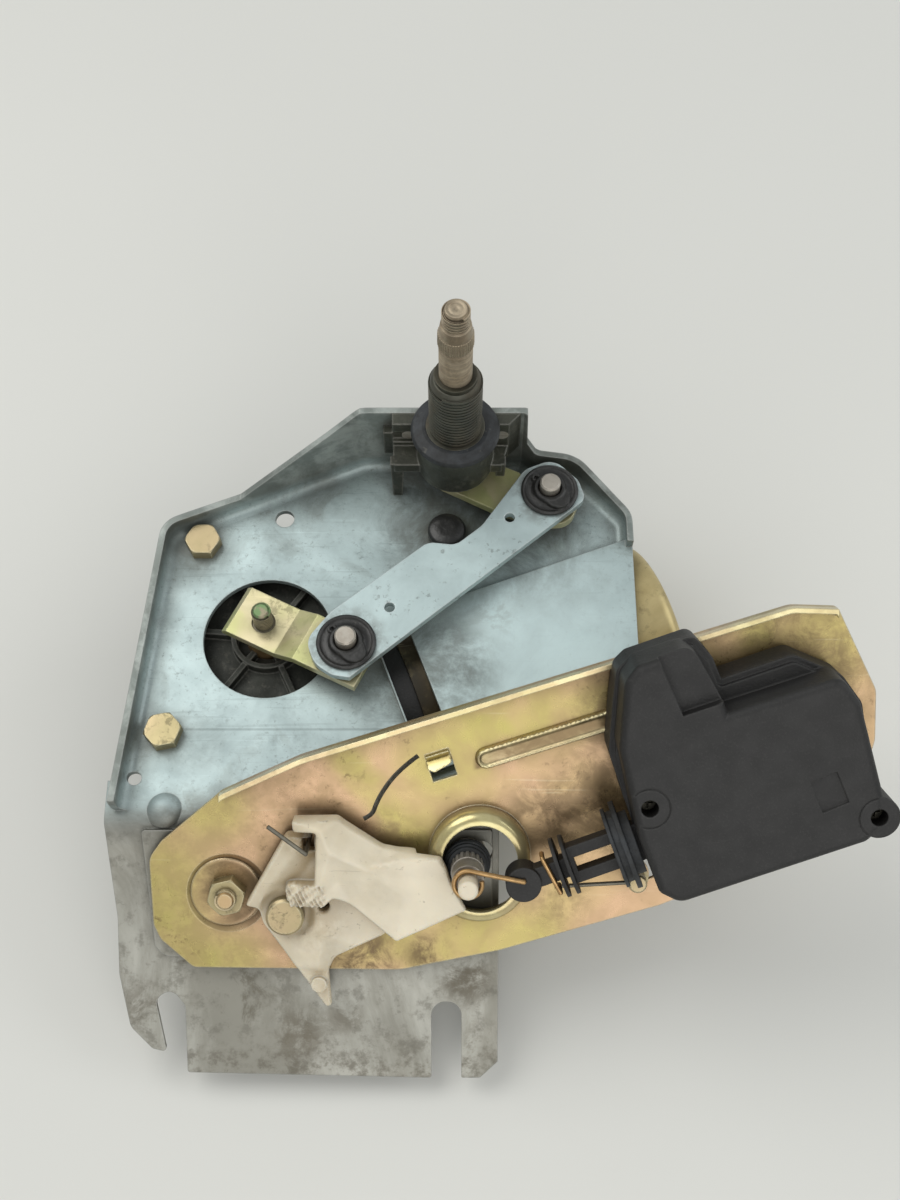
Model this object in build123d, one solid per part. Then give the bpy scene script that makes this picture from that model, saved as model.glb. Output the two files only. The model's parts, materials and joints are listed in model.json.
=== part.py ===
from build123d import *
import os
from math import atan2, cos, degrees, hypot, radians, sin

# Rear wiper motor on a pressed steel plate, with its crank linkage and wiper spindle, and the tailgate
# lock drive on a second bracket. The plate's upper part lies level: X runs across it, Y up it towards the
# spindle, and the wiper pivots stand along Z. Its lower part, the wing, is bent back; it and everything on
# the lock bracket are modelled flat in the wing's own frame and then turned with it. Heights in this file
# are above the plate's front face. On export the model moves down by WASHER_TOP, so its origin is on the
# spindle axis where the seat washer bears on the body panel.

# ---------------------------------------------------------------- driving dimensions, mm and degrees
PLATE_T = 2.0            # main plate sheet
BEND_R = 3.0             # inside radius between the plate's floor and its rim
RIM_H = 8.0              # rim height along the left edge
WALL_H = 31.0            # rim height behind the spindle block
CAN_GAP = 0.4            # between the motor can and the raised panel over it
FOLD_Y = -112.9          # where the wing's front face would meet the plate's
WING_TILT = 37.0         # the wing is bent back by this much
WING_BEND = 5.0          # outside radius of that bend
PAD_RISE = 1.5           # pressed pad on the wing, under the lock bracket
SLOT_R = 4.5             # half-width of the mounting slots
FOOT_V = -81.6           # lower edge of the wing, along it from the fold

MOTOR_X, MOTOR_Y = -58.5, -52.0      # output axis
MOTOR_TILT = 20.5                    # can axis against X
MOTOR_DEPTH = 29.0                   # can axis below the plate's front face
WHEEL_R, WORM_R = 25.4, 4.2          # worm wheel and worm, at their tips
CAN_R = 28.6             # motor can
CAN_START, CAN_END = 36.5, 122.0     # can along its own axis, from beside the output axis
CAN_T = 1.6              # its sheet
MAGNET_T, AIR_GAP = 5.4, 0.8         # field magnets, and the gap between them and the armature

CRANK_PIN_X, CRANK_PIN_Y = -32.6, -61.9
LEVER_PIN_X, LEVER_PIN_Y = 29.6, -9.7
ARM_T = 3.0              # crank arm and spindle lever sheet
ARM_Z = 2.5              # underside of the crank arm at the output shaft
JOGGLE = 3.0             # the crank arm steps up by this much
CRANK_SKEW = -5.6        # the arm's blank is turned this much from the line through its holes
LINK_T = 2.5
PIN_R = 3.2
PIN_TOP = 18.0
CLIP_R = 9.0
CLIP_T = 1.8
LEVER_EYE_R = 7.4        # the open pivot's eye, wider than its bush

STOP_X, STOP_Y = -2.6, -19.0         # rubber stop
STOP_R, STOP_H, STOP_SHANK = 5.8, 3.0, 3.0

RIVETS = (-14.5, 14.5)   # rivets that hold the spindle block, along X
RIVET_R, RIVET_Z = 2.0, 25.0
BLOCK_SEAT = 31.0        # top of the spindle block, where the washer sits
WASHER_T = 4.0
TUBE_R, TUBE_TOP = 8.0, 60.5
SHAFT_R = 4.85
KNURL_Z0, KNURL_Z1 = 77.5, 84.0
THREAD_R, SPINDLE_TOP = 4.0, 93.0

# Lower assembly, in the wing's frame: X as above, V up the wing from the fold, heights above its sheet.
BRACKET_Z = 4.0          # front face of the lock bracket
BRACKET_T = 1.5
BRACKET_RIM = 4.0
HOLE_X, HOLE_V = 6.95, -11.0         # collared hole in the lock bracket
HOLE_R, HOLE_LONG = 10.8, 2.3        # its end radius and half the distance between its end centres
COLLAR_TOP, COLLAR_OUT = 11.0, 14.6
NUT_X, NUT_V = -66.3, -20.9          # nut that holds the lock bracket's left end
STUD_X, STUD_V = -48.9, -24.9        # release lever pivot
POST_X, POST_V = 3.4, -10.8          # lock post
POST_R, POST_SHANK, TIP_R = 4.8, 3.0, 2.8
TRAVEL = 4.5             # plunger and post slide together by this much
STUB_X, STUB_V = 52.0, -15.0         # right end of the guide wire
ROD_X, ROD_V = 48.9, -0.1            # where the plunger leaves the actuator
ROD_Z = 18.0                         # plunger axis
ROD_TURN = 20.5                      # plunger axis against X
ROD_HALF, ROD_THICK, ROD_IN = 5.4, 4.4, 12.0     # plunger half-width, thickness and reach into the actuator
ACT_X, ACT_V, ACT_TURN = 51.8, 15.1, 19.5     # actuator frame: left screw, long side against X
ACT_SPLIT, ACT_TOP = 18.0, 34.0

RUN = 0.05               # radial clearance of a shaft or pin in its bearing
GAP = 0.3                # clearance between pieces that pass each other
TOUCH = 0.1              # clearance between flat faces that slide

# ---------------------------------------------------------------- derived values
WASHER_TOP = BLOCK_SEAT + WASHER_T
WORM_OFFSET = WHEEL_R + WORM_R + TOUCH           # can axis beside the output axis
PANEL_RISE = max(PLATE_T, CAN_R - MOTOR_DEPTH + CAN_GAP + PLATE_T)
CORE_R = CAN_R - CAN_T - MAGNET_T - AIR_GAP      # armature laminations
R_Z = ARM_Z + JOGGLE                 # underside of the crank's stepped end and of the spindle lever
ARM_TOP = R_Z + ARM_T
LINK_Z = ARM_TOP + 1.0               # underside of the link, above the pins' thrust washers
LINK_TOP = LINK_Z + LINK_T
CLIP_Z = LINK_TOP + 2 * TOUCH
CRANK_TURN = degrees(atan2(CRANK_PIN_Y - MOTOR_Y, CRANK_PIN_X - MOTOR_X)) + CRANK_SKEW
LINK_TURN = degrees(atan2(LEVER_PIN_Y - CRANK_PIN_Y, LEVER_PIN_X - CRANK_PIN_X))
LINK_L = hypot(LEVER_PIN_X - CRANK_PIN_X, LEVER_PIN_Y - CRANK_PIN_Y)
LEVER_TURN = degrees(atan2(LEVER_PIN_Y, LEVER_PIN_X))
LEVER_L = hypot(LEVER_PIN_X, LEVER_PIN_Y)
BOLTS = [(-79.6, -22.2), (-87.0, -86.2), (-28.0, -57.4)]


# ---------------------------------------------------------------- helpers
def disc(x, y, r, z0, z1):
    return Pos(x, y, z0) * Cylinder(r, z1 - z0, align=(Align.CENTER, Align.CENTER, Align.MIN))


def ring(x, y, r_in, r_out, z0, z1):
    return disc(x, y, r_out, z0, z1) - disc(x, y, r_in, z0 - 1, z1 + 1)


def box(x0, x1, y0, y1, z0, z1):
    return Pos(x0, y0, z0) * Box(x1 - x0, y1 - y0, z1 - z0, align=(Align.MIN, Align.MIN, Align.MIN))


def outline(corners):
    """A face through (x, y, radius) corners, each rounded by its radius."""
    face = make_face(Polyline(*[(x, y) for x, y, _ in corners], close=True))
    for x, y, r in corners:
        if r > 0:
            face = fillet(face.vertices().sort_by_distance(Vector(x, y, 0))[0], r)
    return face


def prism(face, z0, z1):
    return extrude(Pos(0, 0, z0) * face, amount=z1 - z0, dir=(0, 0, 1))


def frame(x, y, turn, z=0):
    return Location((x, y, z), (0, 0, turn))


def motor_axis(s, turn=0):
    """A plane square to the can axis at s, with its own X along +Z."""
    t = radians(MOTOR_TILT)
    x = MOTOR_X + s * cos(t) + WORM_OFFSET * sin(t)
    y = MOTOR_Y + s * sin(t) - WORM_OFFSET * cos(t)
    return Plane(origin=(x, y, -MOTOR_DEPTH), x_dir=(0, 0, 1), z_dir=(cos(t), sin(t), 0))


def on_can(s0, s1, r):
    return motor_axis(s0) * Cylinder(r, s1 - s0, align=(Align.CENTER, Align.CENTER, Align.MIN))


def hexagon(x, y, across, z0, z1, turn=0):
    return prism(Pos(x, y) * Rot(0, 0, turn) * RegularPolygon(across / 2, 6, major_radius=False), z0, z1)


MOTOR = frame(MOTOR_X, MOTOR_Y, MOTOR_TILT)
CRANK = frame(MOTOR_X, MOTOR_Y, CRANK_TURN)
LINK = frame(CRANK_PIN_X, CRANK_PIN_Y, LINK_TURN)
LEVER = frame(0, 0, LEVER_TURN)
WING = Location((0, FOLD_Y, 0), (WING_TILT, 0, 0))
ACTUATOR = frame(ACT_X, ACT_V, ACT_TURN)
ROD = Plane(
    origin=(ROD_X, ROD_V, ROD_Z),
    x_dir=(0, 0, 1),
    z_dir=(-cos(radians(ROD_TURN)), -sin(radians(ROD_TURN)), 0),
)

NODES = {}


# ---------------------------------------------------------------- main plate
# Outer line of the rim, from the left edge over the top to the step above the motor can. Below it the
# line runs wide of the sheet, so the rim is open there.
RIM = [
    (-110.2, -220, 0), (-92.0, -18.2, 8), (-29.5, 9.0, 14), (22.0, 9.0, 2),
    (26.5, 5.5, 3), (39.0, 5.5, 10), (56.0, -14.0, 8), (56.0, -24.0, 0), (100, -24.0, 0), (100, -220, 0),
]
# Sheet outline of the upper part, down to the fold, and of the wing below it.
UPPER = [
    (-120, FOLD_Y - 2, 0), (12.7, FOLD_Y - 2, 0), (12.7, -106.0, 0), (56.0, -98.0, 3), (56.0, 40, 0), (-120, 40, 0),
]
LOWER = [
    (-102.4, 3, 0), (-102.4, -1, 0), (-99.6, -30, 12), (-99.9, -48, 10), (-97.2, -65.0, 5), (-91.0, -72.0, 2),
    (-86.6, -73.2, 1), (-89.4, -56.2, 3.4), (-84.6, -52.4, 3.2), (-80.6, -58.2, 4), (-80.6, FOOT_V + 1.8, 0.8),
    (-2.7 - SLOT_R, FOOT_V, 0.8), (-2.7 - SLOT_R, -61.4, 0), (-2.7 + SLOT_R, -61.4, 0), (-2.7 + SLOT_R, FOOT_V, 0.5),
    (7.4, FOOT_V, 1.5), (12.8, -76.2, 1.5), (12.7, 3, 0),
]
PAD = [(-91.3, -2.6, 1), (-89.2, -30, 20), (-88.4, -41.8, 5), (10.7, -41.8, 4), (10.7, -2.6, 1)]


def rim_heights():
    """What stands above the rim's top edge, cut away along Y."""
    skyline = [
        (-130, RIM_H), (-86, RIM_H), (-68, 7.0), (-40, 24.0), (-29.5, WALL_H), (22.4, WALL_H),
        (22.9, 15.0), (25.5, 12.0), (38.0, 9.0), (60, 5.0), (60, 60), (-130, 60),
    ]
    face = make_face(Polyline(*[(x, 0, z) for x, z in skyline], close=True))
    return extrude(face, amount=200, both=True, dir=(0, 1, 0))


def raised_panel(z0, z1, inset):
    """The panel over the motor can, from the window to the right-hand edge."""
    top = -10.8 - inset
    pts = [(30 + inset, top, 0), (140, top, 0), (140, -62 + inset, 0), (30 + inset, -62 + inset, 0)]
    return prism(MOTOR * outline(pts), z0, z1)


def fold():
    """The sheet's run from the level part over the bend and down the wing, seen along X."""
    tilt = radians(WING_TILT)
    down = (cos(tilt), sin(tilt))
    corner_y = FOLD_Y - PLATE_T * sin(tilt / 2) / cos(tilt / 2)
    run = [
        (FOLD_Y + 12, 0), (FOLD_Y, 0), (FOLD_Y - 110 * down[0], -110 * down[1]),
        (corner_y - 110 * down[0], -PLATE_T - 110 * down[1]), (corner_y, -PLATE_T), (FOLD_Y + 12, -PLATE_T),
    ]
    face = make_face(Polyline(*[(0, y, z) for y, z in run], close=True))
    sheet = extrude(Pos(-130, 0, 0) * face, amount=200, dir=(1, 0, 0))
    edges = sheet.edges().filter_by(Axis.X)
    sheet = fillet(edges.sort_by_distance(Vector(-30, FOLD_Y, 0))[0], WING_BEND)
    edges = sheet.edges().filter_by(Axis.X)
    return fillet(edges.sort_by_distance(Vector(-30, corner_y, -PLATE_T))[0], WING_BEND - PLATE_T)


def wing():
    """Bent-back lower part with its slots and pressed pad."""
    sheet = fold()
    keep = WING * prism(outline(LOWER), -30, 10)
    keep += prism(outline(UPPER), -PLATE_T - 1, 1) & box(-130, 60, FOLD_Y, FOLD_Y + 12, -9, 9)
    sheet = sheet & keep & box(-102.4, 12.7, -300, 300, -99, 99)
    slot_top = WING * disc(-2.7, -61.4, SLOT_R, -20, 5)
    pad = WING * prism(outline(PAD), -0.5, PAD_RISE)
    dent = WING * prism(offset(outline(PAD), amount=-PLATE_T), -9, -PLATE_T + PAD_RISE)
    return sheet - slot_top + pad - dent


def main_plate():
    line = outline(RIM)
    outer = prism(line, -PLATE_T, 60)
    outer = fillet(outer.edges().group_by(Axis.Z)[0], BEND_R + PLATE_T)
    inner = prism(offset(line, amount=-PLATE_T), 0, 61)
    inner = fillet(inner.edges().group_by(Axis.Z)[0], BEND_R)
    pan = (outer - inner - rim_heights()) & prism(outline(UPPER), -PLATE_T, 60)
    pan -= box(20, 120, -200, -24.0, 0, 60)
    pan -= box(-130, 120, -220, FOLD_Y + 3, -9, 60)

    sheet = pan + wing()
    sheet += raised_panel(0, PANEL_RISE, 0) & box(-60, 56, FOLD_Y + 5, 0, 0, PANEL_RISE)
    under = PANEL_RISE - PLATE_T
    sheet -= raised_panel(-PLATE_T - 1, under, PLATE_T) & box(-60, 60, -96, 20, -9, under)
    window = [(30.5, -12.0, 2), (41.2, -12.0, 0.5), (41.2, -49.0, 2), (30.5, -49.0, 2)]
    sheet -= prism(MOTOR * outline(window), -9, PANEL_RISE + 5)

    sheet -= disc(-57.6, -54.8, 19.9, -9, 9)
    for x, y in BOLTS:
        sheet -= disc(x, y, 3.3, -9, 9) + disc(x, y, 6.3, 0, 12)
    sheet -= disc(-54.4, -13.0, 3.0, -9, 9)
    sheet -= disc(-94.6, -100.2, 2.1, -9, 9)
    sheet -= disc(STOP_X, STOP_Y, STOP_SHANK, -9, 9)
    for x in RIVETS:
        sheet -= Pos(x, 0, RIVET_Z) * Rot(90, 0, 0) * Cylinder(RIVET_R, 40)
    sheet -= WING * disc(NUT_X, NUT_V, 3.0, -9, 9)
    travel = frame(POST_X, POST_V, ROD_TURN) * Pos(TRAVEL / 2, 0)
    sheet -= WING * prism(travel * SlotOverall(TRAVEL + 2 * POST_SHANK + 2 * GAP, 2 * POST_SHANK + 2 * GAP), -9, 9)
    dart = Pos(-85.0, FOLD_Y + 3.2, -4.2) * Sphere(6.6)
    return sheet + (dart & box(-100, -70, FOLD_Y - 4, FOLD_Y + 12, -0.5, 9))


# ---------------------------------------------------------------- rubber stop in the plate

def rubber_stop():
    head = disc(STOP_X, STOP_Y, STOP_R, 0, STOP_H)
    head = fillet(head.edges().group_by(Axis.Z)[-1], 1.2)
    barb = disc(STOP_X, STOP_Y, 4.2, -PLATE_T - 3, -PLATE_T)
    return head + disc(STOP_X, STOP_Y, STOP_SHANK, -PLATE_T - 3, 0) + chamfer(barb.edges().group_by(Axis.Z)[0], 1.2)


# ---------------------------------------------------------------- worm gearbox
CASE_TOP = -PLATE_T
CASE_FLOOR = -MOTOR_DEPTH - 15.0
BACK_Z = -MOTOR_DEPTH - CAN_R        # level on which can and cover both rest
BELOW = BACK_Z - 40                  # clear below everything
CASE_R, CASE_WALL = 34.0, 3.0
WEB_Z = -8.0             # ribbed face seen through the plate's big hole
SHAFT_OUT_R = 5.0
WHEEL_T = 10.0
WORM_BORE_R, WORM_TUBE_R = 8.5, 11.5
CASE_END, FLANGE_END = 25.0, 30.5    # motor flange along the can axis
LUG_Z = CASE_FLOOR - 4.0
COVER_SCREW_R = 1.75
SOCKET_X = MOTOR_X - 6.0              # plug socket, between two of the cover's screws
SOCKET_W, SOCKET_L, SOCKET_H = 20.0, 20.0, 11.0
COVER_SCREWS = [
    (MOTOR_X + (CASE_R + 3.6) * cos(radians(a)), MOTOR_Y + (CASE_R + 3.6) * sin(radians(a))) for a in (75, 125, 224)
]
# Case wall beside the worm, in the motor frame.
WORM_WALL = -WORM_OFFSET - WORM_TUBE_R - 0.8
WORM_SIDE = [(-20, WORM_WALL, 4), (CASE_END, WORM_WALL, 0), (CASE_END, 0, 0), (-20, 0, 0)]


def gearbox_case():
    case = disc(MOTOR_X, MOTOR_Y, CASE_R, CASE_FLOOR, CASE_TOP)
    case += on_can(-32, 26, WORM_TUBE_R)
    case += on_can(CASE_END, FLANGE_END, CAN_R) & box(-200, 200, -200, 200, BELOW, CASE_TOP)
    case += prism(MOTOR * outline(WORM_SIDE), CASE_FLOOR, -16)
    for x, y in BOLTS:
        case += disc(x, y, 6.5, CASE_TOP - 14, CASE_TOP)
        reach = hypot(x - MOTOR_X, y - MOTOR_Y)
        turn = degrees(atan2(y - MOTOR_Y, x - MOTOR_X))
        web = prism(frame(MOTOR_X, MOTOR_Y, turn) * Pos(reach / 2, 0) * Rectangle(reach, 6), CASE_TOP - 12, -4)
        case += web
    for x, y in COVER_SCREWS:
        case += disc(x, y, 4.2, CASE_FLOOR, CASE_FLOOR + 12)
    case -= prism(MOTOR * (Pos(FLANGE_END + 50, 0) * Rectangle(100, 200)), BELOW, 5)
    chamber = disc(MOTOR_X, MOTOR_Y, CASE_R - CASE_WALL, CASE_FLOOR - 1, WEB_Z - CASE_WALL)
    case -= chamber
    case -= disc(MOTOR_X, MOTOR_Y, CASE_R - 10, WEB_Z, 5)
    case -= on_can(-28, 40, WORM_BORE_R)
    ribs = disc(MOTOR_X, MOTOR_Y, 6.5, WEB_Z, CASE_TOP)
    ribs += ring(MOTOR_X, MOTOR_Y, 9.6, 11.2, WEB_Z, -4.2)
    for k in range(6):
        rib = prism(frame(MOTOR_X, MOTOR_Y, 60 * k - 5) * Pos(15, 0) * Rectangle(20, 1.8), WEB_Z, -4.6)
        ribs += rib
    case += ribs
    case -= disc(MOTOR_X, MOTOR_Y, SHAFT_OUT_R + 1.5, WEB_Z - 6, 5)
    for x, y in BOLTS:
        case -= disc(x, y, 3.0, CASE_TOP - 10, 5)
    for x, y in COVER_SCREWS:
        case -= disc(x, y, COVER_SCREW_R, CASE_FLOOR - 1, CASE_FLOOR + 9)
    return case


def output_bush():
    return ring(MOTOR_X, MOTOR_Y, SHAFT_OUT_R + RUN, SHAFT_OUT_R + 1.5, WEB_Z - CASE_WALL, CASE_TOP + 1)


def gearbox_cover():
    plan = disc(MOTOR_X, MOTOR_Y, CASE_R, BACK_Z, CASE_FLOOR)
    plan += prism(MOTOR * outline(WORM_SIDE), BACK_Z, CASE_FLOOR)
    plan -= prism(MOTOR * (Pos(CASE_END + 50, 0) * Rectangle(100, 200)), BELOW, 5)
    cover = fillet(plan.edges().group_by(Axis.Z)[0], 2.5)
    cover -= disc(MOTOR_X, MOTOR_Y, CASE_R - CASE_WALL, BACK_Z + 2.5, CASE_FLOOR + 1)
    cover += ring(MOTOR_X, MOTOR_Y, SHAFT_OUT_R + RUN, 8.5, BACK_Z + 2.5, CASE_FLOOR - 1)
    for x, y in COVER_SCREWS:
        cover += disc(x, y, 4.2, LUG_Z, CASE_FLOOR) - disc(MOTOR_X, MOTOR_Y, CASE_R - 1, BELOW, 0)
        cover -= disc(x, y, COVER_SCREW_R, LUG_Z - 1, CASE_FLOOR + 1)
    return cover


def cover_screws():
    """Screws that hold the cover, their cross-slotted heads on its lugs."""
    screws = []
    for x, y in COVER_SCREWS:
        head = disc(x, y, 3.4, LUG_Z - 2.4, LUG_Z)
        slots = box(x - 2, x + 2, y - 0.4, y + 0.4, LUG_Z - 3, LUG_Z - 1.4)
        slots += box(x - 0.4, x + 0.4, y - 2, y + 2, LUG_Z - 3, LUG_Z - 1.4)
        screws.append(head + disc(x, y, COVER_SCREW_R, LUG_Z, CASE_FLOOR + 8) - slots)
    return screws


def socket():
    """Plug socket on the cover's upper side, open upwards."""
    y0 = MOTOR_Y + CASE_R
    x0, x1 = SOCKET_X - SOCKET_W / 2, SOCKET_X + SOCKET_W / 2
    top = CASE_FLOOR - 0.5
    shell = box(x0, x1, y0 - 6, y0 + SOCKET_L, top - SOCKET_H, top)
    shell = fillet(shell.edges().filter_by(Axis.Y), 1.5)
    shell -= box(x0 + 2, x1 - 2, y0 + 3, y0 + SOCKET_L + 1, top - SOCKET_H + 1.5, top - 1.5)
    return shell - disc(MOTOR_X, MOTOR_Y, CASE_R, BELOW, 0)


def socket_blades():
    y0 = MOTOR_Y + CASE_R
    z = CASE_FLOOR - 0.5 - SOCKET_H / 2
    blades = []
    for k in range(4):
        x = SOCKET_X - SOCKET_W / 2 + 3.1 + 4 * k
        blades.append(box(x, x + 1.8, y0 + 3, y0 + SOCKET_L - 5, z - 0.4, z + 0.4))
    return Compound(blades)


def worm_wheel():
    """Wheel with a gap for every tooth; its rim runs just clear of the worm."""
    half = WHEEL_T / 2
    wheel = disc(MOTOR_X, MOTOR_Y, WHEEL_R, -MOTOR_DEPTH - half, -MOTOR_DEPTH + half)
    teeth = 41
    tooth_gap = prism(Pos(WHEEL_R, 0) * Rectangle(3.4, 1.7), -MOTOR_DEPTH - half - 1, -MOTOR_DEPTH + half + 1)
    for k in range(teeth):
        wheel -= frame(MOTOR_X, MOTOR_Y, 360 * k / teeth) * tooth_gap
    for z in (-MOTOR_DEPTH + 2, -MOTOR_DEPTH - half - 1):
        wheel -= ring(MOTOR_X, MOTOR_Y, 10, 20, z, z + 4)
    return wheel - disc(MOTOR_X, MOTOR_Y, SHAFT_OUT_R, -60, 0)


def output_shaft():
    """Shaft with a shoulder under the crank arm and an M6 stud above it."""
    stud_top = 14.0
    shaft = disc(MOTOR_X, MOTOR_Y, SHAFT_OUT_R, CASE_FLOOR - 8, ARM_Z - 0.3)
    shaft += Pos(MOTOR_X, MOTOR_Y, ARM_Z - 0.3) * Cone(
        SHAFT_OUT_R, 3.6, ARM_T - 0.2, align=(Align.CENTER, Align.CENTER, Align.MIN)
    )
    stud = chamfer(disc(MOTOR_X, MOTOR_Y, 3.0, ARM_Z, stud_top).edges().group_by(Axis.Z)[-1], 0.7)
    return shaft + stud


# ---------------------------------------------------------------- motor
def motor_can():
    length = CAN_END - CAN_START
    can = on_can(CAN_START, CAN_END, CAN_R)
    can = fillet(can.edges().filter_by(GeomType.CIRCLE).sort_by_distance(motor_axis(CAN_END).origin)[0], 4)
    cup = on_can(CAN_END - 1, CAN_END + 4, 8.5)
    cup = fillet(cup.edges().filter_by(GeomType.CIRCLE).sort_by_distance(motor_axis(CAN_END + 4).origin)[0], 2)
    hollow = on_can(CAN_START - 1, CAN_END - CAN_T, CAN_R - CAN_T)
    return can + cup - hollow - on_can(CAN_START + length / 2, CAN_END + 2.4, 6.0)


def rear_bush():
    bush = on_can(CAN_END - CAN_T - 3, CAN_END + 2.4, 6.0)
    return bush - on_can(CAN_END - 8, CAN_END + 5, 3.0 + RUN)


def brush_holder():
    """Black insulating ring between gearbox flange and can, with the brush plate inside it."""
    body = on_can(FLANGE_END, CAN_START, CAN_R - 0.6) - on_can(FLANGE_END + 1.5, CAN_START + 1, CAN_R - 3.2)
    return body - on_can(30, CAN_START + 1, 9.5)


def carbon_brushes():
    brushes = []
    for turn in (90, -90):
        side = Rot(0, 0, turn) * Pos(8.9 + TOUCH + 3.5, 0, 0)
        brush = Box(7.0, 4.0, 3.6, align=(Align.CENTER, Align.CENTER, Align.MIN))
        brushes.append(motor_axis(FLANGE_END + 1.5) * (side * brush))
    return Compound(brushes)


def field_magnets():
    magnets = []
    for turn in (0, 180):
        arc = on_can(50, 108, CAN_R - CAN_T) - on_can(49, 109, CAN_R - CAN_T - MAGNET_T)
        half = Box(50, 34, 60, align=(Align.MIN, Align.CENTER, Align.MIN))
        cut = motor_axis(49) * (Rot(0, 0, turn) * half)
        magnets.append(arc & cut)
    return Compound([m for part in magnets for m in part.solids()])


def armature_shaft():
    shaft = on_can(-26, CAN_END + 1.5, 3.0)
    worm = on_can(-13, 13, WORM_R)
    for k in range(6):
        worm -= on_can(-11.6 + 4 * k, -9.6 + 4 * k, 6) - on_can(-12, 12, 3.1)
    return shaft + worm


def armature_core():
    core = on_can(56, 102, CORE_R)
    for k in range(8):
        slot = Rot(0, 0, 45 * k) * Pos(CORE_R - 0.8, 0, 0) * Box(6, 2.4, 60, align=(Align.CENTER, Align.CENTER, Align.MIN))
        core -= motor_axis(50) * slot
    core += on_can(48, 56, CORE_R - 6.8) + on_can(102, 108, CORE_R - 6.8)
    return core - on_can(40, 120, 3.0)


def commutator():
    return on_can(31.5, 47, 8.9) - on_can(30, 48, 3.0)


def worm_bush():
    return on_can(-28, -22, WORM_BORE_R) - on_can(-26, -20, 3.0 + RUN)


# ---------------------------------------------------------------- crank, link and spindle lever
def crank_arm():
    half = 8.2
    left, bend_0, bend_1, right = -10.6, 7.8, 14.5, 35.5
    z0, z1 = ARM_Z, ARM_Z + ARM_T
    side = [
        (left, z0), (bend_0, z0), (bend_1, z0 + JOGGLE), (right, z0 + JOGGLE),
        (right, z1 + JOGGLE), (bend_1, z1 + JOGGLE), (bend_0, z1), (left, z1),
    ]
    face = make_face(Polyline(*[(x, 0, z) for x, z in side], close=True))
    arm = extrude(face, amount=half, both=True, dir=(0, 1, 0))
    arm = chamfer(arm.edges().filter_by(Axis.Y).sort_by_distance(Vector(left, 0, z1))[0], 1.6)
    arm = CRANK * (Pos(0, 0.5, 0) * arm)
    cone = Pos(MOTOR_X, MOTOR_Y, ARM_Z - 0.3) * Cone(
        SHAFT_OUT_R, 3.6, ARM_T - 0.2, align=(Align.CENTER, Align.CENTER, Align.MIN)
    )
    arm -= cone + disc(MOTOR_X, MOTOR_Y, 3.6, 0, 9)
    return arm - disc(CRANK_PIN_X, CRANK_PIN_Y, PIN_R, 0, 20)


def pivot_pin(x, y):
    """Riveted pin: its head under the arm, a groove for the clip near its tip."""
    pin = disc(x, y, PIN_R, R_Z, PIN_TOP)
    pin = chamfer(pin.edges().group_by(Axis.Z)[-1], 0.5)
    head = disc(x, y, 4.6, R_Z - 1.0, R_Z)
    head = chamfer(head.edges().group_by(Axis.Z)[0], 0.5)
    return pin + head


def thrust_washer(x, y):
    return ring(x, y, PIN_R, CLIP_R, ARM_TOP, LINK_Z - TOUCH)


def pin_clip(x, y, turn):
    """Black retaining disc: bevelled rim, raised hub with a notch, and a small hole."""
    z1 = CLIP_Z + CLIP_T
    clip = chamfer(disc(x, y, CLIP_R, CLIP_Z, z1).edges().group_by(Axis.Z)[-1], 0.8)
    clip -= ring(x, y, 5.0, 6.4, z1 - 0.7, z1 + 1)
    clip += disc(x, y, 5.0, CLIP_Z, z1 + 0.7)
    here = frame(x, y, turn)
    clip += prism(here * Pos(4.4, 0) * Rectangle(3.6, 5.0), CLIP_Z, z1 + 0.7)
    clip -= prism(here * Pos(-4.6, 0) * Rectangle(3.4, 3.2), z1 - 0.6, z1 + 2)
    clip -= prism(here * Pos(-6.4, 2.6) * Circle(0.9), CLIP_Z - 1, z1 + 2)
    return clip - disc(x, y, PIN_R, 0, 30)


def link_arm():
    corners = [
        (-6.2, -9.3, 0), (88.0, -9.4, 3.5), (90.8, -3.0, 4), (90.0, 8.0, 6), (80.5, 10.9, 6),
        (57.0, 4.3, 8), (46.5, 4.3, 5), (40.5, 10.6, 5), (3.0, 11.2, 8), (-8.6, 8.6, 6),
        (-11.4, 1.0, 8), (-9.6, -5.4, 5),
    ]
    link = prism(outline(corners), LINK_Z, LINK_TOP)
    link -= disc(0, 0, LINK_BUSH_R, 0, 30) + disc(LINK_L, 0, LEVER_EYE_R, 0, 30)
    for s in (17.4, LINK_L - 15.7):
        link -= disc(s, 0.9, 1.6, 0, 30)
    return LINK * link


LINK_BUSH_R = 5.8


def link_bush():
    """Plastic bush pressed in the link's crank end, running on the crank pin."""
    x, y = CRANK_PIN_X, CRANK_PIN_Y
    return ring(x, y, PIN_R + RUN, LINK_BUSH_R, LINK_Z, LINK_TOP + TOUCH)


def lever_bush():
    """Bush on the lever pin; the link's open eye moves round it."""
    return ring(LEVER_PIN_X, LEVER_PIN_Y, PIN_R, LINK_BUSH_R, LINK_Z - TOUCH, CLIP_Z)


def spindle_lever():
    corners = [
        (-5.9, -6.2, 5), (16.5, -9.9, 10), (33.0, -9.9, 8), (40.2, -7.0, 6), (40.8, 3.0, 6), (33.0, 9.2, 7),
        (21.5, 4.4, 1), (19.5, 5.6, 1), (10.0, 6.5, 4), (-5.9, 6.2, 5),
    ]
    lever = LEVER * prism(outline(corners), R_Z, ARM_TOP)
    lever -= disc(0, 0, SHAFT_R, 0, 30)
    return lever - disc(LEVER_PIN_X, LEVER_PIN_Y, PIN_R, 0, 30)


# ---------------------------------------------------------------- spindle and its block
COLLAR_R, COLLAR_Z = 7.0, 9.0
TUBE_BORE, TUBE_FOOT_R = 5.6, 6.3


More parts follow.
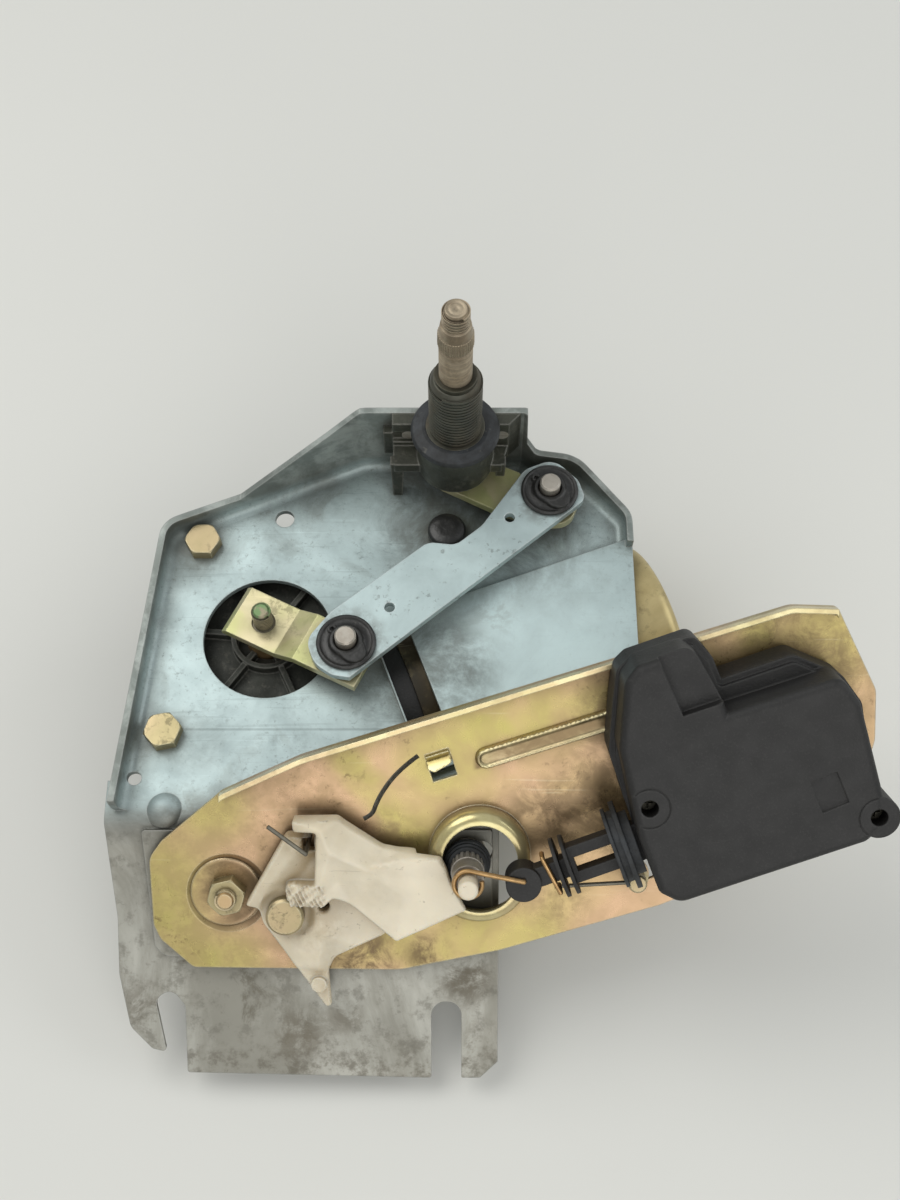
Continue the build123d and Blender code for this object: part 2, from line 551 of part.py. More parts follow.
def spindle_shaft():
    """Spindle: smooth shaft, knurled cone for the wiper arm, M8 thread above it."""
    profile = [
        (0, R_Z - 1.2), (6.4, R_Z - 1.2), (6.4, R_Z), (SHAFT_R, R_Z), (SHAFT_R, KNURL_Z0 - 0.6),
        (5.15, KNURL_Z0), (4.45, KNURL_Z1), (THREAD_R, KNURL_Z1 + 0.6), (THREAD_R, SPINDLE_TOP - 1.0),
        (THREAD_R - 1.0, SPINDLE_TOP), (0, SPINDLE_TOP),
    ]
    return revolve(make_face(Polyline(*[(x, 0, z) for x, z in profile], close=True)), Axis.Z)


def spindle_bushes():
    """Two sintered bushes in the threaded tube."""
    low = ring(0, 0, SHAFT_R + RUN, TUBE_BORE, COLLAR_Z, COLLAR_Z + 12)
    high = ring(0, 0, SHAFT_R + RUN, TUBE_BORE, TUBE_TOP - 13, TUBE_TOP - 1.5)
    return Compound([low, high])


def spindle_ring():
    """Retaining ring on the shaft above the tube."""
    return ring(0, 0, SHAFT_R, 6.3, TUBE_TOP + 0.4, TUBE_TOP + 1.8)


def threaded_tube():
    tube = disc(0, 0, TUBE_R, BLOCK_SEAT, TUBE_TOP)
    tube = chamfer(tube.edges().group_by(Axis.Z)[-1], 0.8) + disc(0, 0, TUBE_FOOT_R, BLOCK_SEAT - 8, BLOCK_SEAT)
    tube += disc(0, 0, TUBE_R + 1, BLOCK_SEAT, WASHER_TOP)
    tube -= disc(0, 0, TUBE_BORE, 0, 90)
    mouth = Pos(0, 0, TUBE_TOP - 1.2) * Cone(TUBE_BORE, 6.8, 1.2, align=(Align.CENTER, Align.CENTER, Align.MIN))
    return tube - mouth


def seat_washer():
    """Rubber washer, dished towards the panel."""
    z = BLOCK_SEAT
    profile = [(9.0, z), (12.2, z), (13.6, z + 1.6), (13.0, z + 2.8), (10.2, z + WASHER_T), (9.0, z + WASHER_T)]
    return revolve(make_face(Polyline(*[(x, 0, h) for x, h in profile], close=True)), Axis.Z)


def spindle_block():
    """Die-cast bearing block: back wall on the rim, a web with legs, and the spindle boss."""
    wall_y0, wall_y1 = 2.8, 7.0
    wall = prism(outline([(-19.4, wall_y0, 0), (16.6, wall_y0, 0), (20.4, wall_y1, 0), (-19.4, wall_y1, 0)]), 12, WALL_H)
    wall -= box(-19.5, -9.5, wall_y0 - 1, wall_y0 + 1.6, 21, WALL_H - 4)
    web = prism(outline([(-19.4, -4.4, 1), (14.6, -4.4, 1), (16.6, wall_y0, 0), (-19.4, wall_y0, 0)]), 15, 19)
    block = wall + web
    boss = disc(0, 0, 11.8, 15, BLOCK_SEAT)
    block += boss & box(-20, 20, -20, wall_y1, 0, 40)
    block += disc(0, 0, COLLAR_R, COLLAR_Z, 16)
    for x0, x1 in ((-20.2, -15.9), (-10.6, -8.2), (12.6, 15.8)):
        leg = make_face(Polyline((x0, -4.2, 19), (x1, -4.2, 19), (x1 - 0.9, -4.2, 0), (x0 + 0.4, -4.2, 0), close=True))
        foot_z = 0 if x0 < -15 else 12
        leg = extrude(leg, amount=3.2, dir=(0, 1, 0)) & box(-30, 30, -10, 10, foot_z, 19)
        block += leg
    block += box(-22.4, -19.4, 4.2, wall_y1, 12, 24)
    block -= disc(0, 0, TUBE_FOOT_R, BLOCK_SEAT - 8, 60)
    block -= disc(0, 0, TUBE_BORE, 0, 60)
    for x in RIVETS:
        block -= Pos(x, 0, RIVET_Z) * Rot(90, 0, 0) * Cylinder(RIVET_R, 40)
    return block


def block_rivets():
    """Rivets through the rim wall into the block."""
    rivets = []
    for x in RIVETS:
        shank = Pos(x, 9.0, RIVET_Z) * Rot(90, 0, 0) * Cylinder(
            RIVET_R, 6.2, align=(Align.CENTER, Align.CENTER, Align.MIN)
        )
        head = Pos(x, 9.0, RIVET_Z) * Rot(-90, 0, 0) * Cone(3.8, 2.4, 1.8, align=(Align.CENTER, Align.CENTER, Align.MIN))
        rivets.append(shank + head)
    return rivets


# ---------------------------------------------------------------- fasteners
def hex_bolt(x, y, turn):
    head = hexagon(x, y, 10.0, 0, 4.0, turn)
    crown = Pos(x, y, 4.0) * Rot(180, 0, 0) * Cone(5.2, 9.2, 4.0, align=(Align.CENTER, Align.CENTER, Align.MIN))
    return (head & crown) + disc(x, y, 3.0, -14 + PLATE_T, 0)


def plate_bolts():
    return [hex_bolt(x, y, turn) for (x, y), turn in zip(BOLTS, (0, 12, 0))]


# ---------------------------------------------------------------- lock bracket
# The bracket's sheet as seen from the front, clockwise from the lower left.
BRACKET = [
    (-77.0, -44.0, 3), (-86.3, -35.2, 4), (-88.2, -30.8, 4), (-88.8, -10.2, 6), (-85.1, -5.0, 4),
    (-67.2, 10.2, 6), (-44.3, 20.8, 24), (93.6, 64.6, 8), (107.0, 64.2, 2), (119.1, 40.1, 6),
    (119.6, 25.4, 8), (113.0, -2.0, 10), (59.6, -24.6, 20), (13.1, -38.6, 20), (-16.3, -44.8, 20),
]
DISH_R, DISH_FLOOR = 13.0, PAD_RISE
BACK = BRACKET_Z - BRACKET_T


def collar_plan(r):
    return Pos(HOLE_X, HOLE_V) * Rot(0, 0, 90) * SlotCenterToCenter(2 * HOLE_LONG, 2 * r)


def bracket_rim():
    """Turned-up edge along the bracket's upper side."""
    edge = outline(BRACKET)
    strip = edge - offset(edge, amount=-BRACKET_T)
    zone = outline([
        (-67.6, 4, 0), (-67.6, 20, 0), (-44, 40, 0), (93, 80, 0), (106.6, 76, 0), (106.6, 60, 0), (93.0, 58.0, 0),
        (-43, 14, 0),
    ])
    return prism(strip & zone, BACK, BRACKET_Z + BRACKET_RIM)


def lock_bracket():
    sheet = prism(outline(BRACKET), BACK, BRACKET_Z) + bracket_rim()
    sheet -= disc(NUT_X, NUT_V, DISH_R, 0, 20) + prism(collar_plan(COLLAR_OUT - 0.2), 0, 20)
    z = DISH_FLOOR
    dish = [
        (0, z), (10.4, z), (DISH_R, BACK), (DISH_R + 0.2, BACK), (DISH_R + 0.2, BRACKET_Z),
        (DISH_R - 1.0, BRACKET_Z), (10.2, z + BRACKET_T), (0, z + BRACKET_T),
    ]
    dish = revolve(make_face(Polyline(*[(x, 0, h) for x, h in dish], close=True)), Axis.Z)
    wide_hole = prism(frame(NUT_X + 1.2, NUT_V + 2.0, 60) * SlotOverall(12.4, 8.4), -9, 20)
    sheet += Pos(NUT_X, NUT_V) * dish
    sheet -= wide_hole
    collar = prism(collar_plan(COLLAR_OUT), BACK, COLLAR_TOP)
    collar = fillet(collar.edges().group_by(Axis.Z)[-1], 3.4)
    inside = prism(collar_plan(COLLAR_OUT - BRACKET_T), 0, COLLAR_TOP - BRACKET_T)
    inside = fillet(inside.edges().group_by(Axis.Z)[-1], 1.9)
    sheet += collar - inside - prism(collar_plan(HOLE_R), 0, 20)
    bead = Pos(27.4, 26.2) * Rot(0, 0, 18) * SlotOverall(44, 5.0)
    sheet += prism(bead, BRACKET_Z, BRACKET_Z + 1.2)
    lance = frame(-3.9, 17.0, 18)
    sheet -= prism(lance * Rectangle(7.2, 6.4), 0, 20)
    sheet += lance * Pos(0, 3.2, BRACKET_Z - 0.6) * Rot(35, 0, 0) * Box(7.0, 4.2, 1.2)
    sheet -= prism(outline([(47.0, -10.0, 1), (51.5, -18.4, 1), (60.0, -15.0, 1), (62.0, -4.0, 1)]), 0, 20)
    sheet += disc(STUB_X, STUB_V, 4.2, BACK, BRACKET_Z)
    sheet -= disc(STUD_X, STUD_V, 3.0, 0, 20) + disc(STUB_X, STUB_V, 1.4, 0, 20)
    for x, y in act_screws():
        sheet -= disc(x, y, SCREW_R, 0, 20)
    return sheet


def bracket_stud():
    """Stud pressed into the wing from behind, through the lock bracket's dish."""
    stud = disc(NUT_X, NUT_V, 3.0, -PLATE_T, 10.6)
    stud = chamfer(stud.edges().group_by(Axis.Z)[-1], 0.7)
    return stud + disc(NUT_X, NUT_V, 5.5, -PLATE_T, -PLATE_T + PAD_RISE)


def bracket_nut():
    z0 = DISH_FLOOR + BRACKET_T
    nut = hexagon(NUT_X, NUT_V, 10.0, z0, z0 + 5.0, 14)
    crown = Pos(NUT_X, NUT_V, z0 + 5.0) * Rot(180, 0, 0) * Cone(
        5.2, 10.2, 5.0, align=(Align.CENTER, Align.CENTER, Align.MIN)
    )
    return (nut & crown) - disc(NUT_X, NUT_V, 3.0, 0, 20)


def stub_pin():
    """Headed pin that holds the right end of the guide wire."""
    pin = disc(STUB_X, STUB_V, 1.4, BACK, 10) + disc(STUB_X, STUB_V, 3.6, BRACKET_Z, 7.2)
    head = disc(STUB_X, STUB_V, 2.7, 7.2, 12.4)
    return pin + chamfer(head.edges().group_by(Axis.Z)[-1], 0.5) - guide_wire()


def guide_wire():
    wire = wire_path([(28.4, -16.6, 9.6), (STUB_X, STUB_V, 10.2)], 0.6)
    return wire


def wire_path(points, r):
    """Round wire through the points, rounded at each corner."""
    parts = []
    for a, b in zip(points[:-1], points[1:]):
        run = Vector(*b) - Vector(*a)
        parts.append(Plane(origin=a, z_dir=run) * Cylinder(r, run.length, align=(Align.CENTER, Align.CENTER, Align.MIN)))
    for p in points[1:-1]:
        parts.append(Pos(*p) * Sphere(r))
    wire = parts[0]
    for p in parts[1:]:
        wire += p
    return wire


# ---------------------------------------------------------------- release lever
NECK_R = 3.9
LEAF_Z0, LEAF_Z1, BODY_Z1 = 6.4, 9.4, 18.0


def pivot_stud():
    stud = disc(STUD_X, STUD_V, 3.0, BACK, BRACKET_Z)
    stud += disc(STUD_X, STUD_V, 6.0, BRACKET_Z, LEAF_Z0 - TOUCH)
    stud += disc(STUD_X, STUD_V, NECK_R, BRACKET_Z, LEAF_Z1 + TOUCH)
    head = disc(STUD_X, STUD_V, 5.5, LEAF_Z1 + TOUCH, 13.0)
    return stud + chamfer(head.edges().group_by(Axis.Z)[-1], 0.7)


def release_lever():
    """White moulded lever: a lower leaf on the stud and a raised box reaching to the lock post."""
    leaf = outline([
        (-60.6, -22.6, 0.8), (-56.6, -23.4, 1), (-55.6, -28.0, 5), (-37.9, -54.6, 0.8), (-36.2, -54.2, 0.8),
        (-37.0, -42.8, 2), (-35.0, -38.6, 3), (-20.0, -31.2, 2), (-16.0, -20.0, 0), (-16.0, -6.0, 0),
        (-34.0, -2.0, 0), (-48.4, -0.8, 1.5),
    ])
    body = outline([
        (-45.2, 7.4, 2), (-32.2, 7.4, 3), (-20.6, -0.9, 3), (-11.7, -2.7, 3), (-4.4, -4.5, 1.5),
        (-3.1, -11.0, 1), (1.8, -21.4, 1), (-17.2, -29.8, 1.5), (-29.8, -18.4, 2), (-37.0, -18.4, 1),
        (-48.6, -18.6, 1), (-49.2, -13.6, 1), (-50.6, -4.0, 1.5),
    ])
    lever = prism(leaf, LEAF_Z0, LEAF_Z1)
    top = prism(body, LEAF_Z0, BODY_Z1)
    top = chamfer(top.edges().group_by(Axis.Z)[-1], 0.7)
    swing = HOLE_X - COLLAR_OUT - 2.4
    top -= box(swing, 10, -30, 10, 0, COLLAR_TOP + 0.6)
    lever += top
    lever -= prism(outline([(-47.6, -12.4, 1), (-39.8, -12.4, 1), (-39.8, 3.6, 1), (-45.6, 3.6, 1), (-48.6, -4, 1)]), 11.5, 30)
    lever -= prism(outline([(-49.6, -19.4, 0), (-37.4, -19.4, 0), (-37.4, -13.0, 0), (-49.6, -13.0, 0)]), 15.4, 30)
    lever -= prism(outline([(-33, -14, 2), (-17.5, -26.5, 2), (-12.5, -24.0, 2), (-12.5, -6, 2), (-33, 0, 2)]), 0, BODY_Z1 - 2.2)
    lever -= disc(STUD_X, STUD_V, NECK_R + RUN, 0, 30) + disc(STUD_X, STUD_V, 6.6, LEAF_Z1, 30)
    lever -= prism(Pos(STUD_X + 6.5, STUD_V) * Rectangle(5, 5.4), 7.6, 30)
    lever -= prism(outline([(-43.6, -5.6, 0.5), (-40.2, -5.6, 0.5), (-40.2, -1.4, 0.5), (-43.6, -1.4, 0.5)]), 0, 30)
    lever -= disc(-39.7, -46.8, 2.3, LEAF_Z1 - 0.25, 30)
    return lever - disc(-37.9, -22.4, 1.6, 0, 13)


def torsion_spring():
    """Return spring: one coil round the stud's foot, a riser through the lever's pocket, and the free leg."""
    coil_r, wire = 7.4, 0.6
    z = BRACKET_Z + wire + RUN
    coil = Pos(STUD_X, STUD_V, z) * Torus(coil_r, wire)
    turn = atan2(-3.4 - STUD_V, -41.9 - STUD_X)
    start = (STUD_X + coil_r * cos(turn), STUD_V + coil_r * sin(turn), z)
    return coil + wire_path([start, (-41.9, -3.4, z), (-41.9, -3.4, 18.8), (-52.2, 5.2, 20.2)], wire)


# ---------------------------------------------------------------- lock post


def lock_post():
    """Sliding post: flanged shank in the wing's slot, then a serrated steel hub."""
    z0 = PAD_RISE + TOUCH
    post = disc(POST_X, POST_V, POST_SHANK, -PLATE_T - 1.6, z0 + 1)
    post += disc(POST_X, POST_V, 6.0, z0, z0 + 1.4) + disc(POST_X, POST_V, 5.6, -PLATE_T - 1.6, -PLATE_T - TOUCH)
    post += disc(POST_X, POST_V, POST_R - 0.8, z0, 8.4)
    hub = disc(POST_X, POST_V, POST_R, 8.4, 14.0)
    for k in range(18):
        hub -= prism(frame(POST_X, POST_V, 20 * k) * Pos(POST_R + 0.1, 0) * Circle(0.5), 8.8, 13.4)
    post += hub + disc(POST_X, POST_V, POST_R - 0.3, 14.0, 20.0)
    return post - disc(POST_X, POST_V, 1.6, 15.0, 30)


def post_ring():
    """Grooved rubber ring round the post, inside the collared hole."""
    r0, r1 = POST_R - 0.8, 6.8
    profile = [
        (r0, 4.4), (r1 - 0.6, 4.4), (r1, 5.0), (r1, 5.8), (r1 - 0.8, 6.2), (r1 - 0.8, 6.6), (r1, 7.0), (r1, 7.8),
        (r1 - 0.6, 8.4), (r0, 8.4),
    ]
    face = make_face(Polyline(*[(x, 0, h) for x, h in profile], close=True))
    return Pos(POST_X, POST_V) * revolve(face, Axis.Z)


def post_tip():
    """White plastic peg in the end of the post; the wire clip hooks round it."""
    peg = disc(POST_X, POST_V, 1.6, 15.0, 20.5)
    tip = disc(POST_X, POST_V, TIP_R, 20.0, 28.0)
    return peg + fillet(tip.edges().group_by(Axis.Z)[-1], 1.0)


# ---------------------------------------------------------------- plunger and its clips
def along_rod(s0, s1, r):
    return ROD * Pos(0, 0, s0) * Cylinder(r, s1 - s0, align=(Align.CENTER, Align.CENTER, Align.MIN))


def rod_box(s0, s1, y0, y1, z0, z1):
    """A box along the rod: s out of the actuator, y across, z above the rod's axis."""
    return ROD * Pos(z0, y0, s0) * Box(z1 - z0, y1 - y0, s1 - s0, align=(Align.MIN, Align.MIN, Align.MIN))


EYE_S = 32.0             # hooked end of the plunger, along the rod
WIRE_R = 0.7
CLIP_WIRE_Z = 22.6


def rod_point(s, y, z):
    """A point beside the rod, in the wing's frame."""
    t = radians(ROD_TURN)
    return (ROD_X - s * cos(t) + y * sin(t), ROD_V - s * sin(t) - y * cos(t), z)


def plunger():
    """Moulded plunger: two discs, a slotted frame that runs into the actuator, and a hooked end."""
    half = ROD_THICK / 2
    body = rod_box(-ROD_IN, 19.0, -ROD_HALF, ROD_HALF, -half, half) - rod_box(3.0, 16.5, -2.2, 2.2, -9, 9)
    for s in (17.8, 20.6):
        body += along_rod(s, s + 1.0, 8.6)
    body += rod_box(18, EYE_S, -2.8, 2.8, -2.4, 2.4)
    x, y, _ = rod_point(EYE_S, 0, 0)
    body += disc(x, y, 5.0, ROD_Z - 3.4, CLIP_WIRE_Z - WIRE_R)
    return body - wire_clip() - neck_clip()


def wire_clip():
    """Bronze wire: a loop round the post's tip with its tail turned down into the plunger's hooked end."""
    r = TIP_R + 0.4 + WIRE_R
    ex, ey, _ = rod_point(EYE_S, 0, 0)
    turn = degrees(atan2(ey - POST_V, ex - POST_X))
    loop = revolve(Pos(r, 0, 0) * Rot(90, 0, 0) * Circle(WIRE_R), Axis.Z, 300)
    loop = Pos(POST_X, POST_V, CLIP_WIRE_Z) * Rot(0, 0, turn + 75) * loop
    a = radians(turn + 75)
    start = (POST_X + r * cos(a), POST_V + r * sin(a), CLIP_WIRE_Z)
    tail = wire_path([start, (ex, ey + 1.2, CLIP_WIRE_Z), (ex, ey + 1.2, ROD_Z)], WIRE_R)
    return loop + tail + Pos(*start) * Sphere(WIRE_R)


def neck_clip():
    """Second bronze wire, bent like a staple over the plunger's neck."""
    z = ROD_Z + 2.4 + WIRE_R
    a, b = rod_point(24.6, -5.2, z), rod_point(23.2, 6.0, z)
    return wire_path([(a[0], a[1], ROD_Z - 1), a, b, (b[0], b[1], ROD_Z - 3)], WIRE_R)


# ---------------------------------------------------------------- lock actuator
# Actuator frame: X along its long side, Y towards the bracket's turned-up edge, origin at the left screw.
LID = [
    (-0.5, -28.6, 5), (-4.9, -24.0, 3), (-5.4, -7.4, 8), (-2.6, 18.0, 8), (4.6, 35.0, 5), (9.0, 38.0, 3),
    (24.4, 38.0, 4), (27.6, 21.0, 0), (27.7, 17.9, 0), (59.0, 17.4, 4), (61.6, 9.0, 4), (60.0, -18.0, 2),
    (57.6, -26.2, 3), (52.0, -28.6, 3),
]
BASE = [
    (0.5, -27.6, 5), (-4.6, -23.0, 3), (-5.6, -7.4, 8), (-5.4, 14.0, 8), (0.2, 27.4, 6), (4.0, 35.4, 4),
    (8.0, 37.4, 3), (26.6, 37.4, 3), (29.6, 30.0, 2), (30.0, 23.4, 0), (50.5, 23.4, 4), (61.4, 13.4, 4),
    (64.2, 4.4, 4), (60.0, -24.0, 4), (53.0, -27.6, 3),
]
ACT_BOSSES = [(0.0, 0.0), (57.1, -22.9)]
BOSS_R = 5.7
SCREW_R = 1.8
HEAD_Z = 8.0             # screw heads sit this far below the front


def act_screws():
    turn = radians(ACT_TURN)
    return [
        (ACT_X + x * cos(turn) - y * sin(turn), ACT_V + x * sin(turn) + y * cos(turn)) for x, y in ACT_BOSSES
    ]


def rod_way(grow):
    """The plunger's way into the actuator, deep enough for its travel."""
    return rod_box(-ROD_IN - TRAVEL - 1, 6, -ROD_HALF - grow, ROD_HALF + grow, -ROD_THICK / 2 - grow, ROD_THICK / 2 + grow)


def actuator_base():
    base = prism(outline(BASE), BRACKET_Z + 1.4, ACT_SPLIT)
    base = chamfer(base.edges().group_by(Axis.Z)[0], 1.0)
    for x, y in ACT_BOSSES:
        base += disc(x, y, BOSS_R, BRACKET_Z, ACT_SPLIT)
    base = ACTUATOR * base
    beside_rim = box(40, 130, -40, 100, 0, BRACKET_Z + BRACKET_RIM + GAP)
    base -= beside_rim - prism(offset(outline(BRACKET), amount=-BRACKET_T - GAP), 0, 20)
    for x, y in act_screws():
        base -= disc(x, y, SCREW_R, 0, 60)
    return base - rod_way(GAP)


def actuator_cover():
    cover = prism(outline(LID), ACT_SPLIT, ACT_TOP)
    cover = fillet(cover.edges().group_by(Axis.Z)[-1], 2.2)
    cover += prism(outline(BASE), ACT_SPLIT, ACT_SPLIT + 1.4) + prism(offset(outline(BASE), amount=-1.6), ACT_SPLIT, ACT_SPLIT + 3.4)
    cover += disc(*ACT_BOSSES[1], BOSS_R, ACT_SPLIT, ACT_TOP - 0.2)
    ear = outline([(15.0, 34.2, 0), (16.2, 21.4, 0), (34, 21.4, 0), (34, 50, 0), (15.0, 50, 0)])
    cover -= prism(ear, ACT_TOP - 4.0, ACT_TOP + 5)
    cover -= prism(Pos(46.6, -11.6) * Rot(0, 0, 4) * Rectangle(7.6, 9.2), ACT_TOP - 0.8, ACT_TOP + 5)
    for x, y in ACT_BOSSES:
        cover -= disc(x, y, SCREW_R, 0, 60) + disc(x, y, 2.4, ACT_TOP - HEAD_Z, 60)
        cover -= ring(x, y, BOSS_R - 0.5, BOSS_R, ACT_TOP - 0.3, 60)
    return ACTUATOR * cover - rod_way(GAP)


def actuator_screws():
    """Long screws through both shells into the bracket, heads sunk in their bosses."""
    screws = []
    for x, y in act_screws():
        z = ACT_TOP - HEAD_Z
        head = disc(x, y, 2.3, z, z + 2.2)
        cross = box(x - 1.6, x + 1.6, y - 0.3, y + 0.3, z + 1.2, z + 9) + box(x - 0.3, x + 0.3, y - 1.6, y + 1.6, z + 1.2, z + 9)
        screws.append(disc(x, y, SCREW_R, BACK - 1.5, z) + head - cross)
    return screws


def plunger_guide():
    """Stepped rubber seal round the plunger, on the actuator's side."""
    seal = along_rod(1.0, 2.4, 12.6) + along_rod(2.4, 4.2, 10.2) + along_rod(4.2, 5.2, 11.4)
    seal += along_rod(-1.5, 1.0, 9.0)
    seal -= ACTUATOR * prism(outline(BASE), 0, 60)
    seal -= ACTUATOR * prism(outline(LID), 0, 60)
    half = ROD_THICK / 2 + GAP
    return seal - rod_box(-20, 20, -ROD_HALF - GAP, ROD_HALF + GAP, -half, half)


# ---------------------------------------------------------------- build
def build():
    NODES["main_plate"] = main_plate()
    NODES["rubber_stop"] = rubber_stop()
    NODES["gearbox_case"] = gearbox_case()
    NODES["gearbox_cover"] = gearbox_cover()
    NODES["cover_screws"] = Compound(cover_screws())
    NODES["output_bush"] = output_bush()
    NODES["motor_socket"] = socket()
    NODES["socket_blades"] = socket_blades()
    NODES["worm_wheel"] = worm_wheel()
    NODES["output_shaft"] = output_shaft()
    NODES["motor_can"] = motor_can()
    NODES["rear_bush"] = rear_bush()
    NODES["worm_bush"] = worm_bush()
    NODES["brush_holder"] = brush_holder()
    NODES["carbon_brushes"] = carbon_brushes()
    NODES["field_magnets"] = field_magnets()
    NODES["armature_shaft"] = armature_shaft()
    NODES["armature_core"] = armature_core()
    NODES["commutator"] = commutator()
    NODES["crank_arm"] = crank_arm()
    NODES["crank_pin"] = pivot_pin(CRANK_PIN_X, CRANK_PIN_Y)
    NODES["crank_washer"] = thrust_washer(CRANK_PIN_X, CRANK_PIN_Y)
    NODES["crank_clip"] = pin_clip(CRANK_PIN_X, CRANK_PIN_Y, -45)
    NODES["link_arm"] = link_arm()
    NODES["link_bush"] = link_bush()
    NODES["lever_bush"] = lever_bush()
    NODES["lever_pin"] = pivot_pin(LEVER_PIN_X, LEVER_PIN_Y)
    NODES["lever_washer"] = thrust_washer(LEVER_PIN_X, LEVER_PIN_Y)
    NODES["lever_clip"] = pin_clip(LEVER_PIN_X, LEVER_PIN_Y, -50)
    NODES["spindle_lever"] = spindle_lever()
    NODES["spindle_shaft"] = spindle_shaft()
    NODES["spindle_bushes"] = spindle_bushes()
    NODES["spindle_ring"] = spindle_ring()
    NODES["threaded_tube"] = threaded_tube()
    NODES["seat_washer"] = seat_washer()
    NODES["spindle_block"] = spindle_block()
    NODES["block_rivets"] = Compound(block_rivets())
    NODES["plate_bolts"] = Compound(plate_bolts())
    NODES["lock_bracket"] = WING * lock_bracket()
    NODES["bracket_stud"] = WING * bracket_stud()
    NODES["bracket_nut"] = WING * bracket_nut()
    NODES["stub_pin"] = WING * stub_pin()
    NODES["guide_wire"] = WING * guide_wire()
    NODES["pivot_stud"] = WING * pivot_stud()
    NODES["release_lever"] = WING * release_lever()
    NODES["torsion_spring"] = WING * torsion_spring()
    NODES["lock_post"] = WING * lock_post()
    NODES["post_ring"] = WING * post_ring()
    NODES["post_tip"] = WING * post_tip()
    NODES["plunger"] = WING * plunger()
    NODES["wire_clip"] = WING * wire_clip()
    NODES["neck_clip"] = WING * neck_clip()
    NODES["plunger_guide"] = WING * plunger_guide()
    NODES["actuator_base"] = WING * actuator_base()
    NODES["actuator_cover"] = WING * actuator_cover()
    NODES["actuator_screws"] = WING * Compound(actuator_screws())


def write():
    os.makedirs("parts", exist_ok=True)
    for name, shape in NODES.items():
        solids = Compound(shape.solids()) if len(shape.solids()) > 1 else shape.solids()[0]
        export_step(Pos(0, 0, -WASHER_TOP) * solids, f"parts/{name}.step")


build()
write()
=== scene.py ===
"""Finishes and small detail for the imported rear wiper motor: zinc-plated plate and linkage,
chromated lock bracket, moulded lock drive, threads, splines and wear."""

import functools
import json
import math

import bmesh
import bpy
from mathutils import Euler, Matrix, Vector
from mathutils.geometry import delaunay_2d_cdt

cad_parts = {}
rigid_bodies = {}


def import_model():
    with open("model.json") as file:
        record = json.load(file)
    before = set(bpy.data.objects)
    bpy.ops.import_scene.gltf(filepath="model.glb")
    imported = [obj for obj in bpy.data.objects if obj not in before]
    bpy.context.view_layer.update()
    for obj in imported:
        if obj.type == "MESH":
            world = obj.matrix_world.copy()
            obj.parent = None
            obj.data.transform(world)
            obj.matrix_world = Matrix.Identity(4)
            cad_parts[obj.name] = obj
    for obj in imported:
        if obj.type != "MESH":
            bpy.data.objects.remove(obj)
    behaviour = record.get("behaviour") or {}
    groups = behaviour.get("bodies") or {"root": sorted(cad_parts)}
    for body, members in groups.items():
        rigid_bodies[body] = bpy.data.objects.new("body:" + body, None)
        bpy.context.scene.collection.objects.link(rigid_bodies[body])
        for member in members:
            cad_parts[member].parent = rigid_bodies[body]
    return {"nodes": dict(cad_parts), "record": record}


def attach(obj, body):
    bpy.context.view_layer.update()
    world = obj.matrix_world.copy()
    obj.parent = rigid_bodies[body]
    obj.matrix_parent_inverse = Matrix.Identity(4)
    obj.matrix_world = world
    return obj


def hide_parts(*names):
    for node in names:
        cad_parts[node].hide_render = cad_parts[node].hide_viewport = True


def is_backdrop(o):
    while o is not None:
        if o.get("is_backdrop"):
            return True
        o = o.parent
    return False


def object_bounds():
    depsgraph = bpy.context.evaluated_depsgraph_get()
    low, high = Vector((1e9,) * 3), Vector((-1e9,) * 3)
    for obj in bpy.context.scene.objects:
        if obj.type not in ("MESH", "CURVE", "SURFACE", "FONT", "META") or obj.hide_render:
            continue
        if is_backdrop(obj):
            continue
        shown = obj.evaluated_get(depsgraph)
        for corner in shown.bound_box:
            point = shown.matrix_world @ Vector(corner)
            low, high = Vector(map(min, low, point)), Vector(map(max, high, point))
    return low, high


bl_info = {
    "name": "Rear Wiper Motor Finishes",
    "version": (1, 0, 0),
    "blender": (4, 5, 0),
    "location": "3D View > Sidebar > Wiper Motor",
    "description": "Threads, splines, wire and procedural finishes for a rear wiper motor",
    "category": "Object",
}

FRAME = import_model()
CAD_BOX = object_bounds()
MM = 0.001
DROP = -35.0                       # height of the plate's face, mm
FOLD_Y = -112.9                    # where the wing bends off the plate, mm
WING_TILT = 37.0                   # degrees
STEPS_A_TURN = 40                  # of a thread

WING = (
    Matrix.Translation((0, FOLD_Y * MM, DROP * MM))
    @ Matrix.Rotation(math.radians(WING_TILT), 4, "X")
)
LEVEL = Matrix.Translation((0, 0, DROP * MM))


